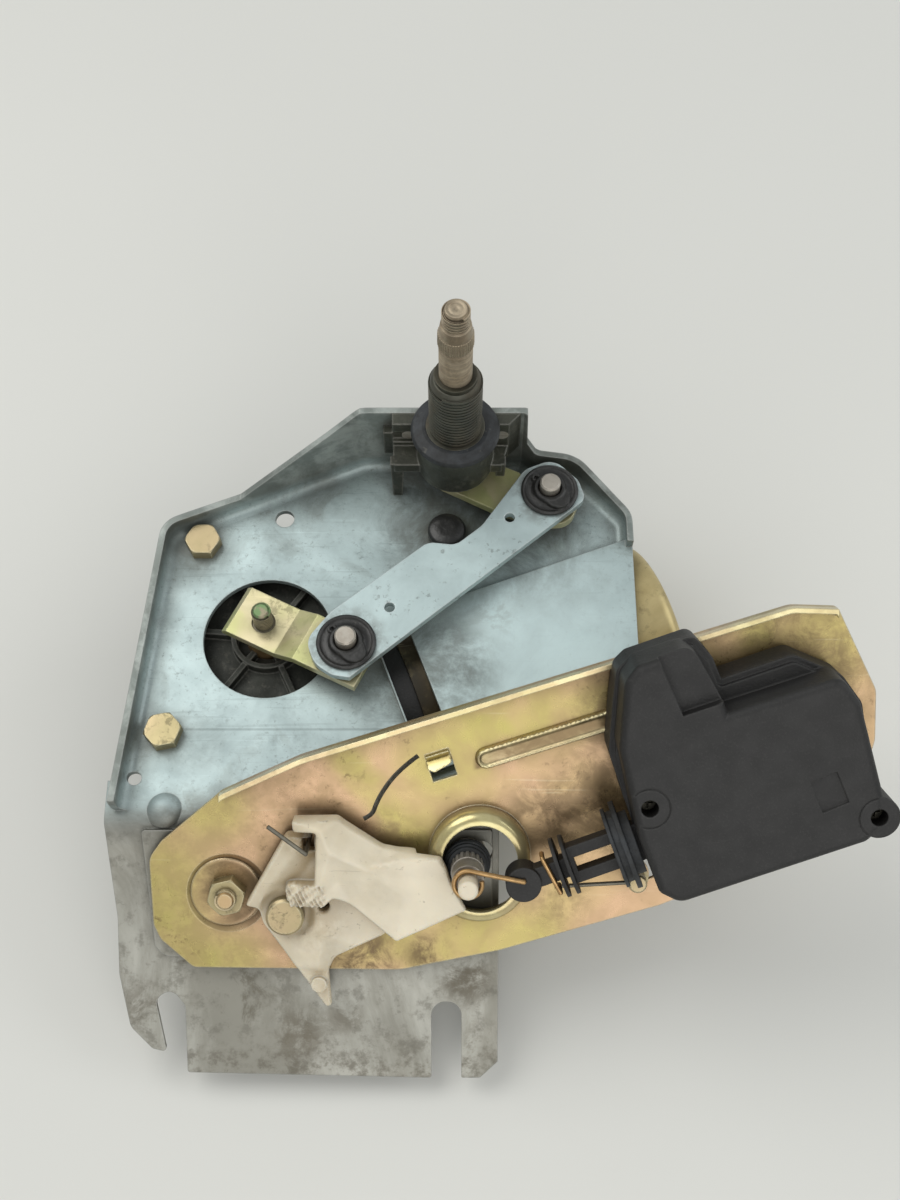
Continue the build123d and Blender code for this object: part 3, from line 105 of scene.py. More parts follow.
# --- settings
class WiperFinishSettings(bpy.types.PropertyGroup):
    """Colours and amounts that a user may change."""

    zinc: bpy.props.FloatVectorProperty(
        name="Zinc", description="Base colour of the zinc-plated plate",
        subtype="COLOR", size=3, min=0, max=1, default=(0.45, 0.55, 0.55),
    )
    chromate: bpy.props.FloatVectorProperty(
        name="Chromate", description="Base colour of the yellow chromated bracket",
        subtype="COLOR", size=3, min=0, max=1, default=(0.47, 0.335, 0.175),
    )
    moulding: bpy.props.FloatVectorProperty(
        name="Moulding", description="Colour of the black lock drive housing",
        subtype="COLOR", size=3, min=0, max=1, default=(0.0075, 0.0071, 0.0066),
    )
    acetal: bpy.props.FloatVectorProperty(
        name="Acetal", description="Colour of the white release lever",
        subtype="COLOR", size=3, min=0, max=1, default=(0.68, 0.615, 0.48),
    )
    # This setting also sets how deep the painted shade in the corners of the plate and the chromate
    # parts is.
    dirt_and_shade: bpy.props.FloatProperty(
        name="Dirt", description="Share of the surface that grime darkens",
        subtype="FACTOR", min=0, max=1, default=0.5,
    )
    floor: bpy.props.FloatVectorProperty(
        name="Floor", description="Colour of the floor",
        subtype="COLOR", size=3, min=0, max=1, default=(0.66, 0.66, 0.625),
    )


class WiperThreadSettings(bpy.types.PropertyGroup):
    """Sizes of the threads and splines, in metres."""

    sleeve_pitch: bpy.props.FloatProperty(
        name="Sleeve pitch", description="Thread pitch on the spindle sleeve",
        unit="LENGTH", min=0.0005, max=0.003, default=0.0015, precision=5,
    )
    spindle_pitch: bpy.props.FloatProperty(
        name="Spindle pitch", description="Thread pitch at the spindle's end",
        unit="LENGTH", min=0.0005, max=0.002, default=0.00125, precision=5,
    )
    stud_pitch: bpy.props.FloatProperty(
        name="Stud pitch", description="Thread pitch of the small studs",
        unit="LENGTH", min=0.0005, max=0.002, default=0.001, precision=5,
    )
    splines: bpy.props.IntProperty(
        name="Splines", description="Splines round the spindle's cone", min=12, max=72, default=40,
    )


# --- node helpers
class Nodes:
    """Adds nodes to a tree and feeds their sockets."""

    def __init__(self, tree):
        self.tree = tree

    def add(self, kind, sockets=None, **values):
        """A node with its settings made and its sockets fed, by name or number."""
        node = self.tree.nodes.new(kind)
        for key, value in values.items():
            setattr(node, key, value)
        for key, value in (sockets or {}).items():
            self.feed(node.inputs[key], value)
        return node

    def feed(self, socket, value):
        """Link another node's output to a socket, or set the socket's value."""
        if isinstance(value, bpy.types.NodeSocket):
            self.tree.links.new(value, socket)
        else:
            socket.default_value = value

    def maths(self, kind, a, b=0.0):
        return self.add("ShaderNodeMath", {0: a, 1: b}, operation=kind).outputs[0]

    def times(self, a, b):
        return self.maths("MULTIPLY", a, b)


class Finish(Nodes):
    """A procedural material on Object coordinates, built a coat at a time."""

    SCRATCH_STRETCH = 26.0
    SAMPLES = 4
    OPEN = 0.98                        # share of open sky above which no shade is painted

    def __init__(self, name, metallic, roughness):
        self.mat = bpy.data.materials.new(name)
        self.mat.use_nodes = True
        super().__init__(self.mat.node_tree)
        self.bsdf = self.tree.nodes["Principled BSDF"].inputs
        self.bsdf["Metallic"].default_value = metallic
        self.bsdf["Roughness"].default_value = roughness
        self.place = self.add("ShaderNodeTexCoord").outputs["Object"]
        self.base = None

    def spread(self, scale, turn=0.0):
        """Object coordinates, stretched and turned about Z by degrees."""
        return self.add("ShaderNodeMapping", {
            "Vector": self.place, "Scale": scale, "Rotation": (0, 0, math.radians(turn)),
        }).outputs["Vector"]

    def noise(self, scale, detail=4.0, rough=0.55, warp=0.0, place=None):
        return self.add("ShaderNodeTexNoise", {
            "Vector": place or self.place, "Scale": scale, "Detail": detail,
            "Roughness": rough, "Distortion": warp,
        }).outputs["Fac"]

    def step(self, value, low, high, to_low=0.0, to_high=1.0):
        """A soft step: from to_low at low to to_high at high."""
        return self.add("ShaderNodeMapRange", {
            "Value": value, "From Min": low, "From Max": high, "To Min": to_low, "To Max": to_high,
        }, interpolation_type="SMOOTHSTEP").outputs["Result"]

    def spots(self, low, high, *noise, **more):
        """Soft-edged patches: a noise cut between two values."""
        return self.step(self.noise(*noise, **more), low, high)

    def band(self, value, rise, fall):
        """1 between two ends, each given as (outer, inner)."""
        return self.times(self.step(value, *rise), self.step(value, *fall))

    def line(self, value, middle, inner, outer):
        """1 within inner of a middle value, 0 beyond outer."""
        off = self.maths("ABSOLUTE", self.maths("SUBTRACT", value, middle))
        return self.step(off, inner, outer, 1.0, 0.0)

    def blend(self, amount, a, b):
        """Mix of two colours, given as values or as sockets."""
        a, b = (c if isinstance(c, bpy.types.NodeSocket) else (*c, 1.0) for c in (a, b))
        return self.add("ShaderNodeMix", {0: amount, 6: a, 7: b}, data_type="RGBA").outputs[2]

    def along(self, axis):
        return self.add("ShaderNodeSeparateXYZ", {0: self.place}).outputs[axis]

    def near(self, x, y, z, inner, outer):
        """1 within inner of a point, 0 beyond outer, in mm."""
        moved = self.add("ShaderNodeMapping", {
            "Vector": self.place, "Location": Vector((x, y, z)) * MM,
        }, vector_type="TEXTURE").outputs["Vector"]
        length = self.add("ShaderNodeVectorMath", {0: moved}, operation="LENGTH")
        return self.step(length.outputs["Value"], inner * MM, outer * MM, 1.0, 0.0)

    def corner_shade(self, distance, tight):
        """1 in corners and under pieces, where shade falls, 0 in the open: the mask for painted
        shade.
        """
        node = self.add("ShaderNodeAmbientOcclusion", {"Distance": distance}, samples=self.SAMPLES)
        return self.step(node.outputs["AO"], tight, self.OPEN, 1.0, 0.0)

    def rounded(self, radius):
        """The surface normal, rounded over its edges."""
        bevel = self.add("ShaderNodeBevel", {"Radius": radius}, samples=self.SAMPLES)
        return bevel.outputs["Normal"]

    def edges(self, radius=0.0007):
        """1 where the surface turns sharply: the mask for painted edge highlights, which also stand
        for rubbing.
        """
        plain = self.add("ShaderNodeNewGeometry").outputs["Normal"]
        dot = self.add(
            "ShaderNodeVectorMath", {0: self.rounded(radius), 1: plain}, operation="DOT_PRODUCT",
        )
        return self.step(dot.outputs["Value"], 0.995, 0.90)

    def scratches(self, scale, turn, cut=0.66):
        """Fine scratches, all about one way."""
        place = self.spread((scale / self.SCRATCH_STRETCH, scale, scale), turn)
        return self.spots(cut, cut + 0.05, 6.0, 3.0, 0.6, place=place)

    def ground(self, amount, a, b):
        """Start the base colour as a mix of two."""
        self.base = self.blend(amount, a, b)

    def coat(self, colour, mask, amount=1.0):
        """Lay a colour over the base where a mask says."""
        self.base = self.blend(self.times(mask, amount), self.base, colour)

    def daubs(self, colour, mask, spots):
        """Lay a colour in spots of (x, y, z, inner, outer, amount), in mm, broken up by a mask."""
        for *spot, amount in spots:
            self.coat(colour, self.times(self.near(*spot), mask), amount)

    def rough(self, value, low, high):
        self.feed(self.bsdf["Roughness"], self.step(value, 0.25, 0.75, low, high))

    def relief(self, height, strength, distance, soften=0.0005):
        """Bump over softened edges."""
        bump = self.add("ShaderNodeBump", {
            "Strength": strength, "Distance": distance, "Height": height,
            "Normal": self.rounded(soften),
        })
        self.feed(self.bsdf["Normal"], bump.outputs["Normal"])

    def done(self):
        self.feed(self.bsdf["Base Color"], self.base)
        return self.mat


def shade(rgb, factor):
    """A colour made darker or paler."""
    return tuple(min(1.0, c * factor) for c in rgb[:3])


# --- finishes
WING_COSINE, WING_SINE = 0.7986, 0.6018
BEAD_SINE = 0.309                  # of the bead's 18 degree turn in the wing
BEAD_TOP_Y = 0.11603               # brings the bead's top down to the fold, m
BEAD_SLOPE = 1.1909                # cosine of the bead's turn over the wing's
BEAD_OFF = 0.01645                 # bead's middle line from the wing's origin, m


def plate_zinc(rgb, dirt_and_shade):
    """Blue-grey zinc with a soft mottle, brown grime along the rim and stains down the wing, with
    painted shade below the rim, in corners and at the fold, painted light on the raised panel and
    painted highlights on the edges.
    """
    f = Finish("plate_zinc", 0.42, 0.5)
    mottle = f.noise(30, 7, 0.66, 0.5)
    fine = f.noise(190, 6, 0.72)
    f.ground(f.step(mottle, 0.34, 0.68), shade(rgb, 0.86), shade(rgb, 1.10))
    f.coat(shade(rgb, 0.45), f.step(fine, 0.52, 0.70), 0.30)
    f.coat(shade(rgb, 1.35), f.scratches(70, 24), 0.22)
    specks = f.times(f.spots(0.56, 0.66, 620, 5, 0.8), f.step(mottle, 0.35, 0.6, 0.25, 0.8))
    f.coat((0.10, 0.105, 0.095), specks, 0.55)
    f.coat(shade(rgb, 0.5), f.scratches(120, -38, cut=0.62), 0.25)
    # Painted light: the raised panel is made paler, as where it faces the light. It is also
    # cleaner.
    lit_and_clean = f.times(f.near(16, -58, -30, 22, 52), f.step(mottle, 0.25, 0.6, 0.6, 1.0))
    f.coat(shade(rgb, 1.42), lit_and_clean, 0.75)
    scribe = f.times(
        f.line(f.along(1), -0.0848, 0.0002, 0.0005),
        f.band(f.along(0), (-0.092, -0.088), (-0.018, -0.022)),
    )
    f.coat(shade(rgb, 0.4), scribe, 0.45)

    wing = f.step(f.along(1), -0.1080, -0.1165)
    roll = f.noise(9, 6, 0.7, 0.8, place=f.spread((3.0, 1.0, 1.0)))
    zinc = f.blend(f.step(roll, 0.36, 0.66), (0.27, 0.262, 0.222), (0.46, 0.455, 0.405))
    zinc = f.blend(f.times(f.step(fine, 0.50, 0.66), 0.55), zinc, (0.15, 0.142, 0.115))
    f.coat(zinc, wing)

    blot = f.spots(0.535, 0.63, 46, 8, 0.72, 0.5)
    patch = f.spots(0.44, 0.60, 13, 3, 0.5, 0.3)
    stain = f.times(f.times(blot, patch), f.step(wing, 0, 1, 0.12 + 0.25 * dirt_and_shade, 0.85))
    f.coat((0.105, 0.092, 0.062), stain)
    foot = f.times(f.step(f.along(1), -0.163, -0.180), f.step(fine, 0.42, 0.60))
    f.coat((0.12, 0.105, 0.075), foot, 0.65)
    f.daubs((0.12, 0.102, 0.07), f.spots(0.42, 0.58, 95, 8, 0.78, 0.5), (
        (3, -152, -66, 3, 12, 0.8),
        (9, -168, -78, 2, 10, 0.7),
        (-47, -166, -76, 3, 13, 0.65),
        (-33, -162, -73, 2, 8, 0.6),
        (-94, -160, -70, 2, 14, 0.6),
        (-79, -113, -36, 4, 13, 0.35),
    ))

    rim = f.step(f.along(2), -0.0330, -0.0285)
    worn = f.blend(f.spots(0.40, 0.62, 75, 6, 0.7, 0.4), (0.135, 0.14, 0.12), (0.33, 0.345, 0.315))
    f.coat(worn, rim, 0.8)
    # Painted shade: a dark band along the fold, where the bend faces away from the light.
    bend_shade = f.band(f.along(1), (-0.107, -0.1115), (-0.121, -0.1155))
    f.coat((0.13, 0.133, 0.118), bend_shade, f.step(mottle, 0.25, 0.6, 0.2, 0.65))

    # Dark daubs broken by noise: grime over the plate and round the block, with painted shade below
    # the rim at the top.
    f.daubs((0.085, 0.088, 0.074), f.spots(0.30, 0.66, 44, 7, 0.75, 0.4), (
        (4, -8, -36, 18, 46, 0.80),
        (40, -6, -34, 8, 24, 0.72),
        (-50, -4, -34, 4, 26, 0.45),
        (-2, -20, -34, 6, 13, 0.55),
        (-6, -66, -35, 10, 26, 0.75),
        (-20, -76, -35, 4, 22, 0.50),
        (30, -30, -33, 4, 24, 0.35),
        (-97, -52, -34, 3, 16, 0.45),
        (-101, -94, -34, 3, 18, 0.50),
        (-78, -88, -34, 7, 13, 0.40),
        (-79, -23, -34, 7, 13, 0.40),
        (-86, -30, -34, 3, 16, 0.35),
    ))
    # Painted shade in corners and under pieces, deeper as the dirt setting rises.
    f.coat((0.085, 0.082, 0.066), f.corner_shade(0.010, 0.45), 0.45 + 0.5 * dirt_and_shade)
    # Painted highlight along the edges, which also stands for rubbing.
    f.coat((0.56, 0.57, 0.54), f.edges(), 0.35)
    f.rough(f.noise(70, 5), 0.36, 0.60)
    f.relief(f.maths("ADD", mottle, f.times(fine, 0.6)), 0.22, 0.0003)
    return f.done()


def link_zinc(rgb, dirt_and_shade):
    """Pale zinc strip with long scuffs, fine specks and dark grease at its ends."""
    f = Finish("link_zinc", 0.42, 0.46)
    cloud = f.noise(42, 6, 0.65, 0.4)
    f.ground(f.step(cloud, 0.3, 0.7), shade(rgb, 0.88), shade(rgb, 1.12))
    f.coat((0.13, 0.14, 0.13), f.spots(0.60, 0.68, 330, 4, 0.7), 0.5)
    grease = 0.45 + 0.4 * dirt_and_shade
    f.daubs((0.15, 0.155, 0.14), f.spots(0.36, 0.60, 130, 6, 0.7), (
        (-32.6, -61.9, -24, 8.5, 15, grease),
        (29.6, -9.7, -24, 8.5, 15, grease),
    ))
    f.coat(shade(rgb, 1.35), f.scratches(110, 40), 0.3)
    # Painted highlight along the edges, which also stands for rubbing.
    f.coat((0.70, 0.74, 0.73), f.edges(), 0.55)
    f.rough(f.noise(120, 3), 0.36, 0.54)
    f.relief(cloud, 0.12, 0.0002)
    return f.done()


def chromate(name, rgb, dirt_and_shade, pale=0.0):
    """Yellow chromated zinc: green and pink clouds over gold, with speckled grime, painted shade in
    corners and painted highlights on the edges.
    """
    f = Finish(name, 0.66, 0.36)
    cloud = f.noise(40, 3, 0.5, 0.8)
    fine = f.noise(110, 6, 0.65, 0.5)
    green = (rgb[0] * 0.90, rgb[1] * 1.02, rgb[2] * 0.80)
    pink = (rgb[0] * 1.08, rgb[1] * 0.98, rgb[2] * 1.08)
    f.ground(f.step(cloud, 0.38, 0.62, 0.0 if pale else 0.7, 1.0), green, pink)
    f.coat(shade(rgb, 1.25), f.step(fine, 0.35, 0.7), 0.4)
    if pale:
        f.coat((0.57, 0.56, 0.37), f.step(cloud, 0.3, 0.7), pale)
    grime = f.times(f.spots(0.52, 0.62, 260, 6, 0.75, 0.4), f.spots(0.40, 0.62, 50, 3))
    f.coat(shade(rgb, 0.28), grime, 0.25 + 0.6 * dirt_and_shade)
    # Painted shade in corners and under pieces, deeper as the dirt setting rises.
    f.coat(shade(rgb, 0.3), f.corner_shade(0.006, 0.45), 0.4 + 0.3 * dirt_and_shade)
    f.coat(shade(rgb, 1.7), f.scratches(85, 17), 0.3)
    # Painted highlight along the edges, which also stands for rubbing.
    f.coat((0.80, 0.76, 0.52), f.edges(), 0.45)
    f.rough(fine, 0.26, 0.46)
    f.relief(fine, 0.16, 0.0003)
    return f.done()


def bracket_chromate(rgb, dirt_and_shade):
    """Pinkish gold chromate, green in patches, with a brown bead, a rubbed glossy rim painted pale
    as a highlight, dark grime, painted shade in corners and painted highlights on the edges.
    """
    f = Finish("bracket_chromate", 0.60, 0.36)
    cloud = f.noise(15, 3, 0.5, 0.9)
    fine = f.noise(90, 7, 0.65, 0.5)
    green = (rgb[0] * 0.84, rgb[1] * 1.04, rgb[2] * 0.60)
    pink = (rgb[0] * 1.06, rgb[1] * 0.98, rgb[2] * 1.12)
    f.ground(f.step(cloud, 0.32, 0.52), green, pink)
    f.daubs(green, 1.0, (
        (-86, -128, -45, 6, 26, 0.8),
        (-70, -110, -30, 4, 16, 0.8),
        (-4, -99, -22, 6, 20, 0.8),
        (-66, -150, -58, 4, 16, 0.8),
        (104, -72, 0, 6, 22, 0.8),
        (20, -146, -54, 4, 18, 0.8),
        (-88, -146, -56, 8, 26, 0.8),
        (-72, -156, -62, 4, 16, 0.8),
    ))
    f.coat(shade(rgb, 1.18), f.step(fine, 0.36, 0.7), 0.35)
    speck = f.spots(0.56, 0.64, 330, 5, 0.8, 0.3)
    patch = f.spots(0.46, 0.62, 34, 4, 0.6, 0.4)
    f.coat((0.10, 0.062, 0.03), f.times(speck, patch), 0.30 + 0.5 * dirt_and_shade)
    f.daubs((0.125, 0.082, 0.040), f.spots(0.38, 0.60, 105, 8, 0.78, 0.4), (
        (-66.3, -130.5, -45.5, 6, 14.5, 0.70),
        (-28, -148, -58, 6, 15, 0.95),
        (-8, -147, -56, 3, 9, 0.90),
        (-40, -117, -34, 4, 12, 0.65),
        (-20, -118, -35, 3, 13, 0.60),
        (46, -110, -28, 6, 26, 0.85),
        (42, -88, -14, 3, 16, 0.60),
        (24, -112, -32, 4, 16, 0.65),
        (100, -78, -6, 6, 30, 0.70),
        (78, -60, 6, 3, 24, 0.60),
        (30, -134, -45, 4, 14, 0.45),
    ))
    up = f.times(f.maths("ADD", f.along(1), BEAD_TOP_Y), BEAD_SLOPE)
    across = f.maths("ADD", f.times(f.along(0), -BEAD_SINE), up)
    bead = f.times(
        f.line(across, BEAD_OFF, 0.0011, 0.0021),
        f.band(f.along(0), (0.0045, 0.0065), (0.051, 0.049)),
    )
    # Painted shade, brown, in corners and under pieces.
    f.coat((0.12, 0.080, 0.038), f.corner_shade(0.007, 0.4), 0.7)
    f.coat((0.86, 0.80, 0.58), f.scratches(80, 17), 0.12)
    # Painted highlight along the edges, which also stands for rubbing.
    f.coat((0.86, 0.80, 0.58), f.edges(), 0.6)
    # Painted highlight: the top of the raised rim is painted pale gold. The rim is also made
    # glossier.
    lift = f.maths("ADD", f.times(f.along(2), WING_COSINE), f.times(f.along(1), -WING_SINE))
    above = f.maths("ADD", lift, (WING_SINE * FOLD_Y - WING_COSINE * DROP) * MM)
    rim = f.step(above, 0.0046, 0.0058)
    f.coat((0.74, 0.68, 0.40), rim, f.step(fine, 0.3, 0.6, 0.75, 0.35))
    f.coat((0.17, 0.115, 0.055), bead, f.step(fine, 0.3, 0.6, 0.45, 0.95))
    under = f.times(f.spots(0.40, 0.58, 150, 6, 0.75), f.spots(0.40, 0.60, 22, 3))
    f.coat((0.24, 0.165, 0.08), under, 0.32)
    f.rough(f.maths("ADD", fine, f.times(rim, -0.5)), 0.20, 0.44)
    f.relief(f.maths("ADD", f.times(cloud, 2.0), fine), 0.16, 0.0004)
    return f.done()


def moulded_black(name, rgb, roughness=0.55, grain=1500.0, dust=0.25):
    """Textured black moulding with a little dust, and edges painted paler as a highlight and as
    rubbing.
    """
    f = Finish(name, 0.0, roughness)
    cloud = f.noise(45, 5, 0.6)
    f.ground(f.step(cloud, 0.3, 0.75), shade(rgb, 0.92), shade(rgb, 1.12))
    f.coat(shade(rgb, 3.2), f.spots(0.54, 0.66, grain, 2, 0.6), 0.35)
    specks = f.times(f.spots(0.63, 0.70, 620, 3, 0.7), f.spots(0.45, 0.7, 40, 3))
    f.coat((0.13, 0.12, 0.10), specks, dust)
    # Painted highlight along the edges, which also stands for rubbing.
    f.coat((0.070, 0.068, 0.064), f.edges(0.0009), 0.35)
    f.coat((0.10, 0.096, 0.088), f.scratches(90, 35, cut=0.70), 0.12)
    f.rough(f.noise(160, 3), roughness - 0.03, roughness + 0.05)
    f.relief(f.noise(grain, 3, 0.6), 0.45, 0.00028, 0.0008)
    return f.done()


def rubber_black():
    """Black rubber, bloomed blue-grey and dusty."""
    f = Finish("rubber_black", 0.0, 0.58)
    f.ground(f.spots(0.36, 0.64, 90, 6, 0.7, 0.4), (0.008, 0.009, 0.009), (0.030, 0.034, 0.038))
    f.coat((0.006, 0.006, 0.006), f.spots(0.54, 0.66, 420, 5, 0.75), 0.5)
    f.coat((0.12, 0.115, 0.095), f.spots(0.62, 0.70, 300, 4, 0.7), 0.4)
    f.relief(f.noise(420, 5, 0.7), 0.5, 0.0004)
    return f.done()


def white_acetal(rgb, dirt_and_shade):
    """Slightly translucent white moulding, tanned by grease in its pocket and lower edges, with
    painted tan shade in its hollows and a painted highlight on its edges.
    """
    f = Finish("white_acetal", 0.0, 0.36)
    f.bsdf["Subsurface Weight"].default_value = 0.22
    f.bsdf["Subsurface Radius"].default_value = (0.004, 0.003, 0.002)
    f.bsdf["Subsurface Scale"].default_value = 1.0
    cloud = f.noise(40, 5, 0.55, 0.3)
    f.ground(f.step(cloud, 0.32, 0.7), shade(rgb, 0.92), shade(rgb, 1.18))
    f.coat((0.50, 0.42, 0.27), f.spots(0.50, 0.68, 24, 4, 0.6), 0.35)
    tanned = f.spots(0.30, 0.62, 120, 6, 0.7)
    for *spot, tone in (
        (-44, -119.5, -30, 3, 9.5, 0.80, (0.36, 0.27, 0.15)),
        (-52, -129, -40, 3, 12, 0.45, (0.45, 0.37, 0.23)),
        (-40, -142, -45, 3, 13, 0.55, (0.40, 0.31, 0.18)),
        (-37, -154, -58, 3, 11, 0.60, (0.47, 0.37, 0.22)),
        (-23, -133, -33, 2, 12, 0.25, (0.45, 0.37, 0.24)),
    ):
        f.daubs(tone, tanned, [spot])
    # Painted shade, tan, in hollows and under edges.
    f.coat((0.34, 0.255, 0.145), f.corner_shade(0.011, 0.30), 0.85)
    # Painted highlight along the edges, which also stands for rubbing.
    f.coat((0.84, 0.80, 0.68), f.edges(0.0008), 0.5)
    f.coat((0.22, 0.17, 0.10), f.spots(0.64, 0.70, 420, 4, 0.7), 0.45)
    f.coat((0.36, 0.30, 0.21), f.scratches(110, -30, cut=0.68), 0.35)
    f.rough(f.noise(80, 4), 0.26, 0.46)
    f.relief(f.noise(110, 4), 0.16, 0.0003, 0.0007)
    return f.done()


def cast_metal(name, rgb, metallic=0.35, roughness=0.6, pale=0.35):
    """Sand-textured die casting, painted paler on its edges as a highlight and as rubbing."""
    f = Finish(name, metallic, roughness)
    cloud = f.noise(60, 6, 0.65)
    f.ground(f.step(cloud, 0.3, 0.72), shade(rgb, 0.7), shade(rgb, 1.5))
    f.coat((0.15, 0.14, 0.115), f.spots(0.52, 0.66, 330, 5, 0.75), 0.30)
    # Painted highlight along the edges, which also stands for rubbing.
    f.coat((0.34, 0.335, 0.30), f.edges(0.0009), pale)
    f.rough(f.noise(200, 3), roughness - 0.12, roughness + 0.12)
    f.relief(f.noise(420, 5, 0.7), 0.55, 0.0004, 0.0007)
    return f.done()


def machined(name, rgb, roughness=0.42, rust=0.3):
    """Turned steel with fine rings and brown bloom, painted shade in small hollows and corners, and
    a painted highlight on its edges, which also stands for rubbing.
    """
    f = Finish(name, 0.72, roughness)
    rings = f.noise(160, 3, 0.6, place=f.spread((0.2, 0.2, 14.0)))
    f.ground(f.step(rings, 0.3, 0.7), shade(rgb, 0.80), shade(rgb, 1.2))
    f.coat((0.16, 0.108, 0.06), f.spots(0.44, 0.62, 130, 6, 0.7, 0.4), rust)
    # Painted shade in small hollows and corners.
    f.coat((0.05, 0.04, 0.028), f.corner_shade(0.002, 0.5), 0.6)
    # Painted highlight along the edges, which also stands for rubbing.
    f.coat((0.66, 0.63, 0.57), f.edges(0.0004), 0.5)
    f.rough(f.noise(220, 4), roughness - 0.06, roughness + 0.18)
    f.relief(rings, 0.12, 0.0001, 0.0003)
    return f.done()


def stud_steel(name, rgb, tip, z_low, z_high):
    """Machined steel with a dab of paint above z_high, ragged down to z_low."""
    f = Finish(name, 0.6, 0.42)
    cloud = f.noise(140, 5, 0.65)
    f.ground(f.step(cloud, 0.3, 0.7), shade(rgb, 0.75), shade(rgb, 1.2))
    # Painted shade in corners and between the threads.
    f.coat((0.04, 0.036, 0.026), f.corner_shade(0.0015, 0.5), 0.7)
    ragged = f.spots(0.38, 0.52, 300, 4, 0.6)
    f.coat(tip, f.step(f.along(2), z_low, z_high), f.times(ragged, 0.85))
    f.rough(cloud, 0.36, 0.56)
    f.relief(cloud, 0.15, 0.0002, 0.0003)
    return f.done()


def threaded_steel(name, rgb, dark, root, crest, low, high, rust):
    """Threaded steel on the spindle's axis: the thread roots painted dark as shade between two
    heights, and the crests painted pale as a highlight.
    """
    f = Finish(name, 0.62, 0.45)
    cloud = f.noise(150, 6, 0.7, 0.3)
    f.ground(f.step(cloud, 0.32, 0.68), shade(rgb, 0.72), shade(rgb, 1.25))
    f.coat((0.15, 0.10, 0.055), f.spots(0.44, 0.62, 110, 6, 0.7, 0.4), rust)
    out = f.maths("ADD", f.times(f.along(0), f.along(0)), f.times(f.along(1), f.along(1)))
    # Painted shade: the thread roots darkened by their distance from the axis, between two heights.
    roots = f.step(out, (root * MM) ** 2, (crest * MM) ** 2, 0.9, 0.0)
    fade = 0.0004
    f.coat(dark, roots, f.band(f.along(2), (low, low + fade), (high, high - fade)))
    lines = f.spots(0.42, 0.60, 1.0, 2, 0.6, place=f.spread((60.0, 60.0, 1600.0)))
    f.coat(shade(rgb, 0.45), lines, 0.35)
    # Painted highlight along the crests and edges, which also stands for rubbing.
    f.coat(shade(rgb, 2.2), f.edges(0.0003), 0.4)
    f.rough(cloud, 0.36, 0.58)
    f.relief(cloud, 0.14, 0.0002, 0.0004)
    return f.done()


def can_chromate(dirt_and_shade):
    """Yellow chromate on the drawn can, spotted brown and dark behind the plate, with painted shade
    in its corners.
    """
    f = Finish("can_chromate", 0.62, 0.40)
    cloud = f.noise(28, 5, 0.6, 0.6)
    f.ground(f.step(cloud, 0.34, 0.68), (0.46, 0.365, 0.17), (0.66, 0.55, 0.29))
    spots = f.times(f.spots(0.52, 0.62, 240, 6, 0.75), f.spots(0.42, 0.64, 40, 3))
    f.coat((0.10, 0.065, 0.03), spots, 0.4 + 0.5 * dirt_and_shade)
    # Darkens the can to near black round a spot behind the plate, broken by noise.
    dark_behind_plate = f.times(
        f.near(-6, -66, -40, 16, 34),
        f.step(f.noise(150, 6, 0.75), 0.25, 0.55, 0.72, 1.0),
    )
    f.coat((0.030, 0.027, 0.020), dark_behind_plate)
    # Painted shade, brown, in corners and under pieces.
    f.coat((0.12, 0.085, 0.04), f.corner_shade(0.01, 0.5), 0.5)
    f.coat((0.62, 0.56, 0.38), f.scratches(75, 110), 0.2)
    f.rough(cloud, 0.32, 0.52)
    f.relief(f.noise(300, 4), 0.14, 0.0003)
    return f.done()


def plain_metal(name, rgb, roughness=0.4, metallic=0.85, rub_and_highlight=1.7):
    """Metal with a soft cloud, painted shade in its corners and edges painted paler, as a highlight
    and as rubbing.
    """
    f = Finish(name, metallic, roughness)
    cloud = f.noise(150, 4, 0.6)
    f.ground(f.step(cloud, 0.3, 0.7), shade(rgb, 0.75), shade(rgb, 1.25))
    # Painted shade in corners and under pieces.
    f.coat(shade(rgb, 0.3), f.corner_shade(0.002, 0.5), 0.5)
    # Painted highlight along the edges, which also stands for rubbing.
    f.coat(shade(rgb, rub_and_highlight), f.edges(0.0004), 0.5)
    f.rough(f.noise(260, 3), roughness - 0.1, roughness + 0.12)
    f.relief(cloud, 0.12, 0.0002, 0.0004)
    return f.done()


FINISHES = {}


def settings():
    """The finish settings and the thread settings."""
    scene = bpy.context.scene
    return scene.wiper_finish, scene.wiper_thread


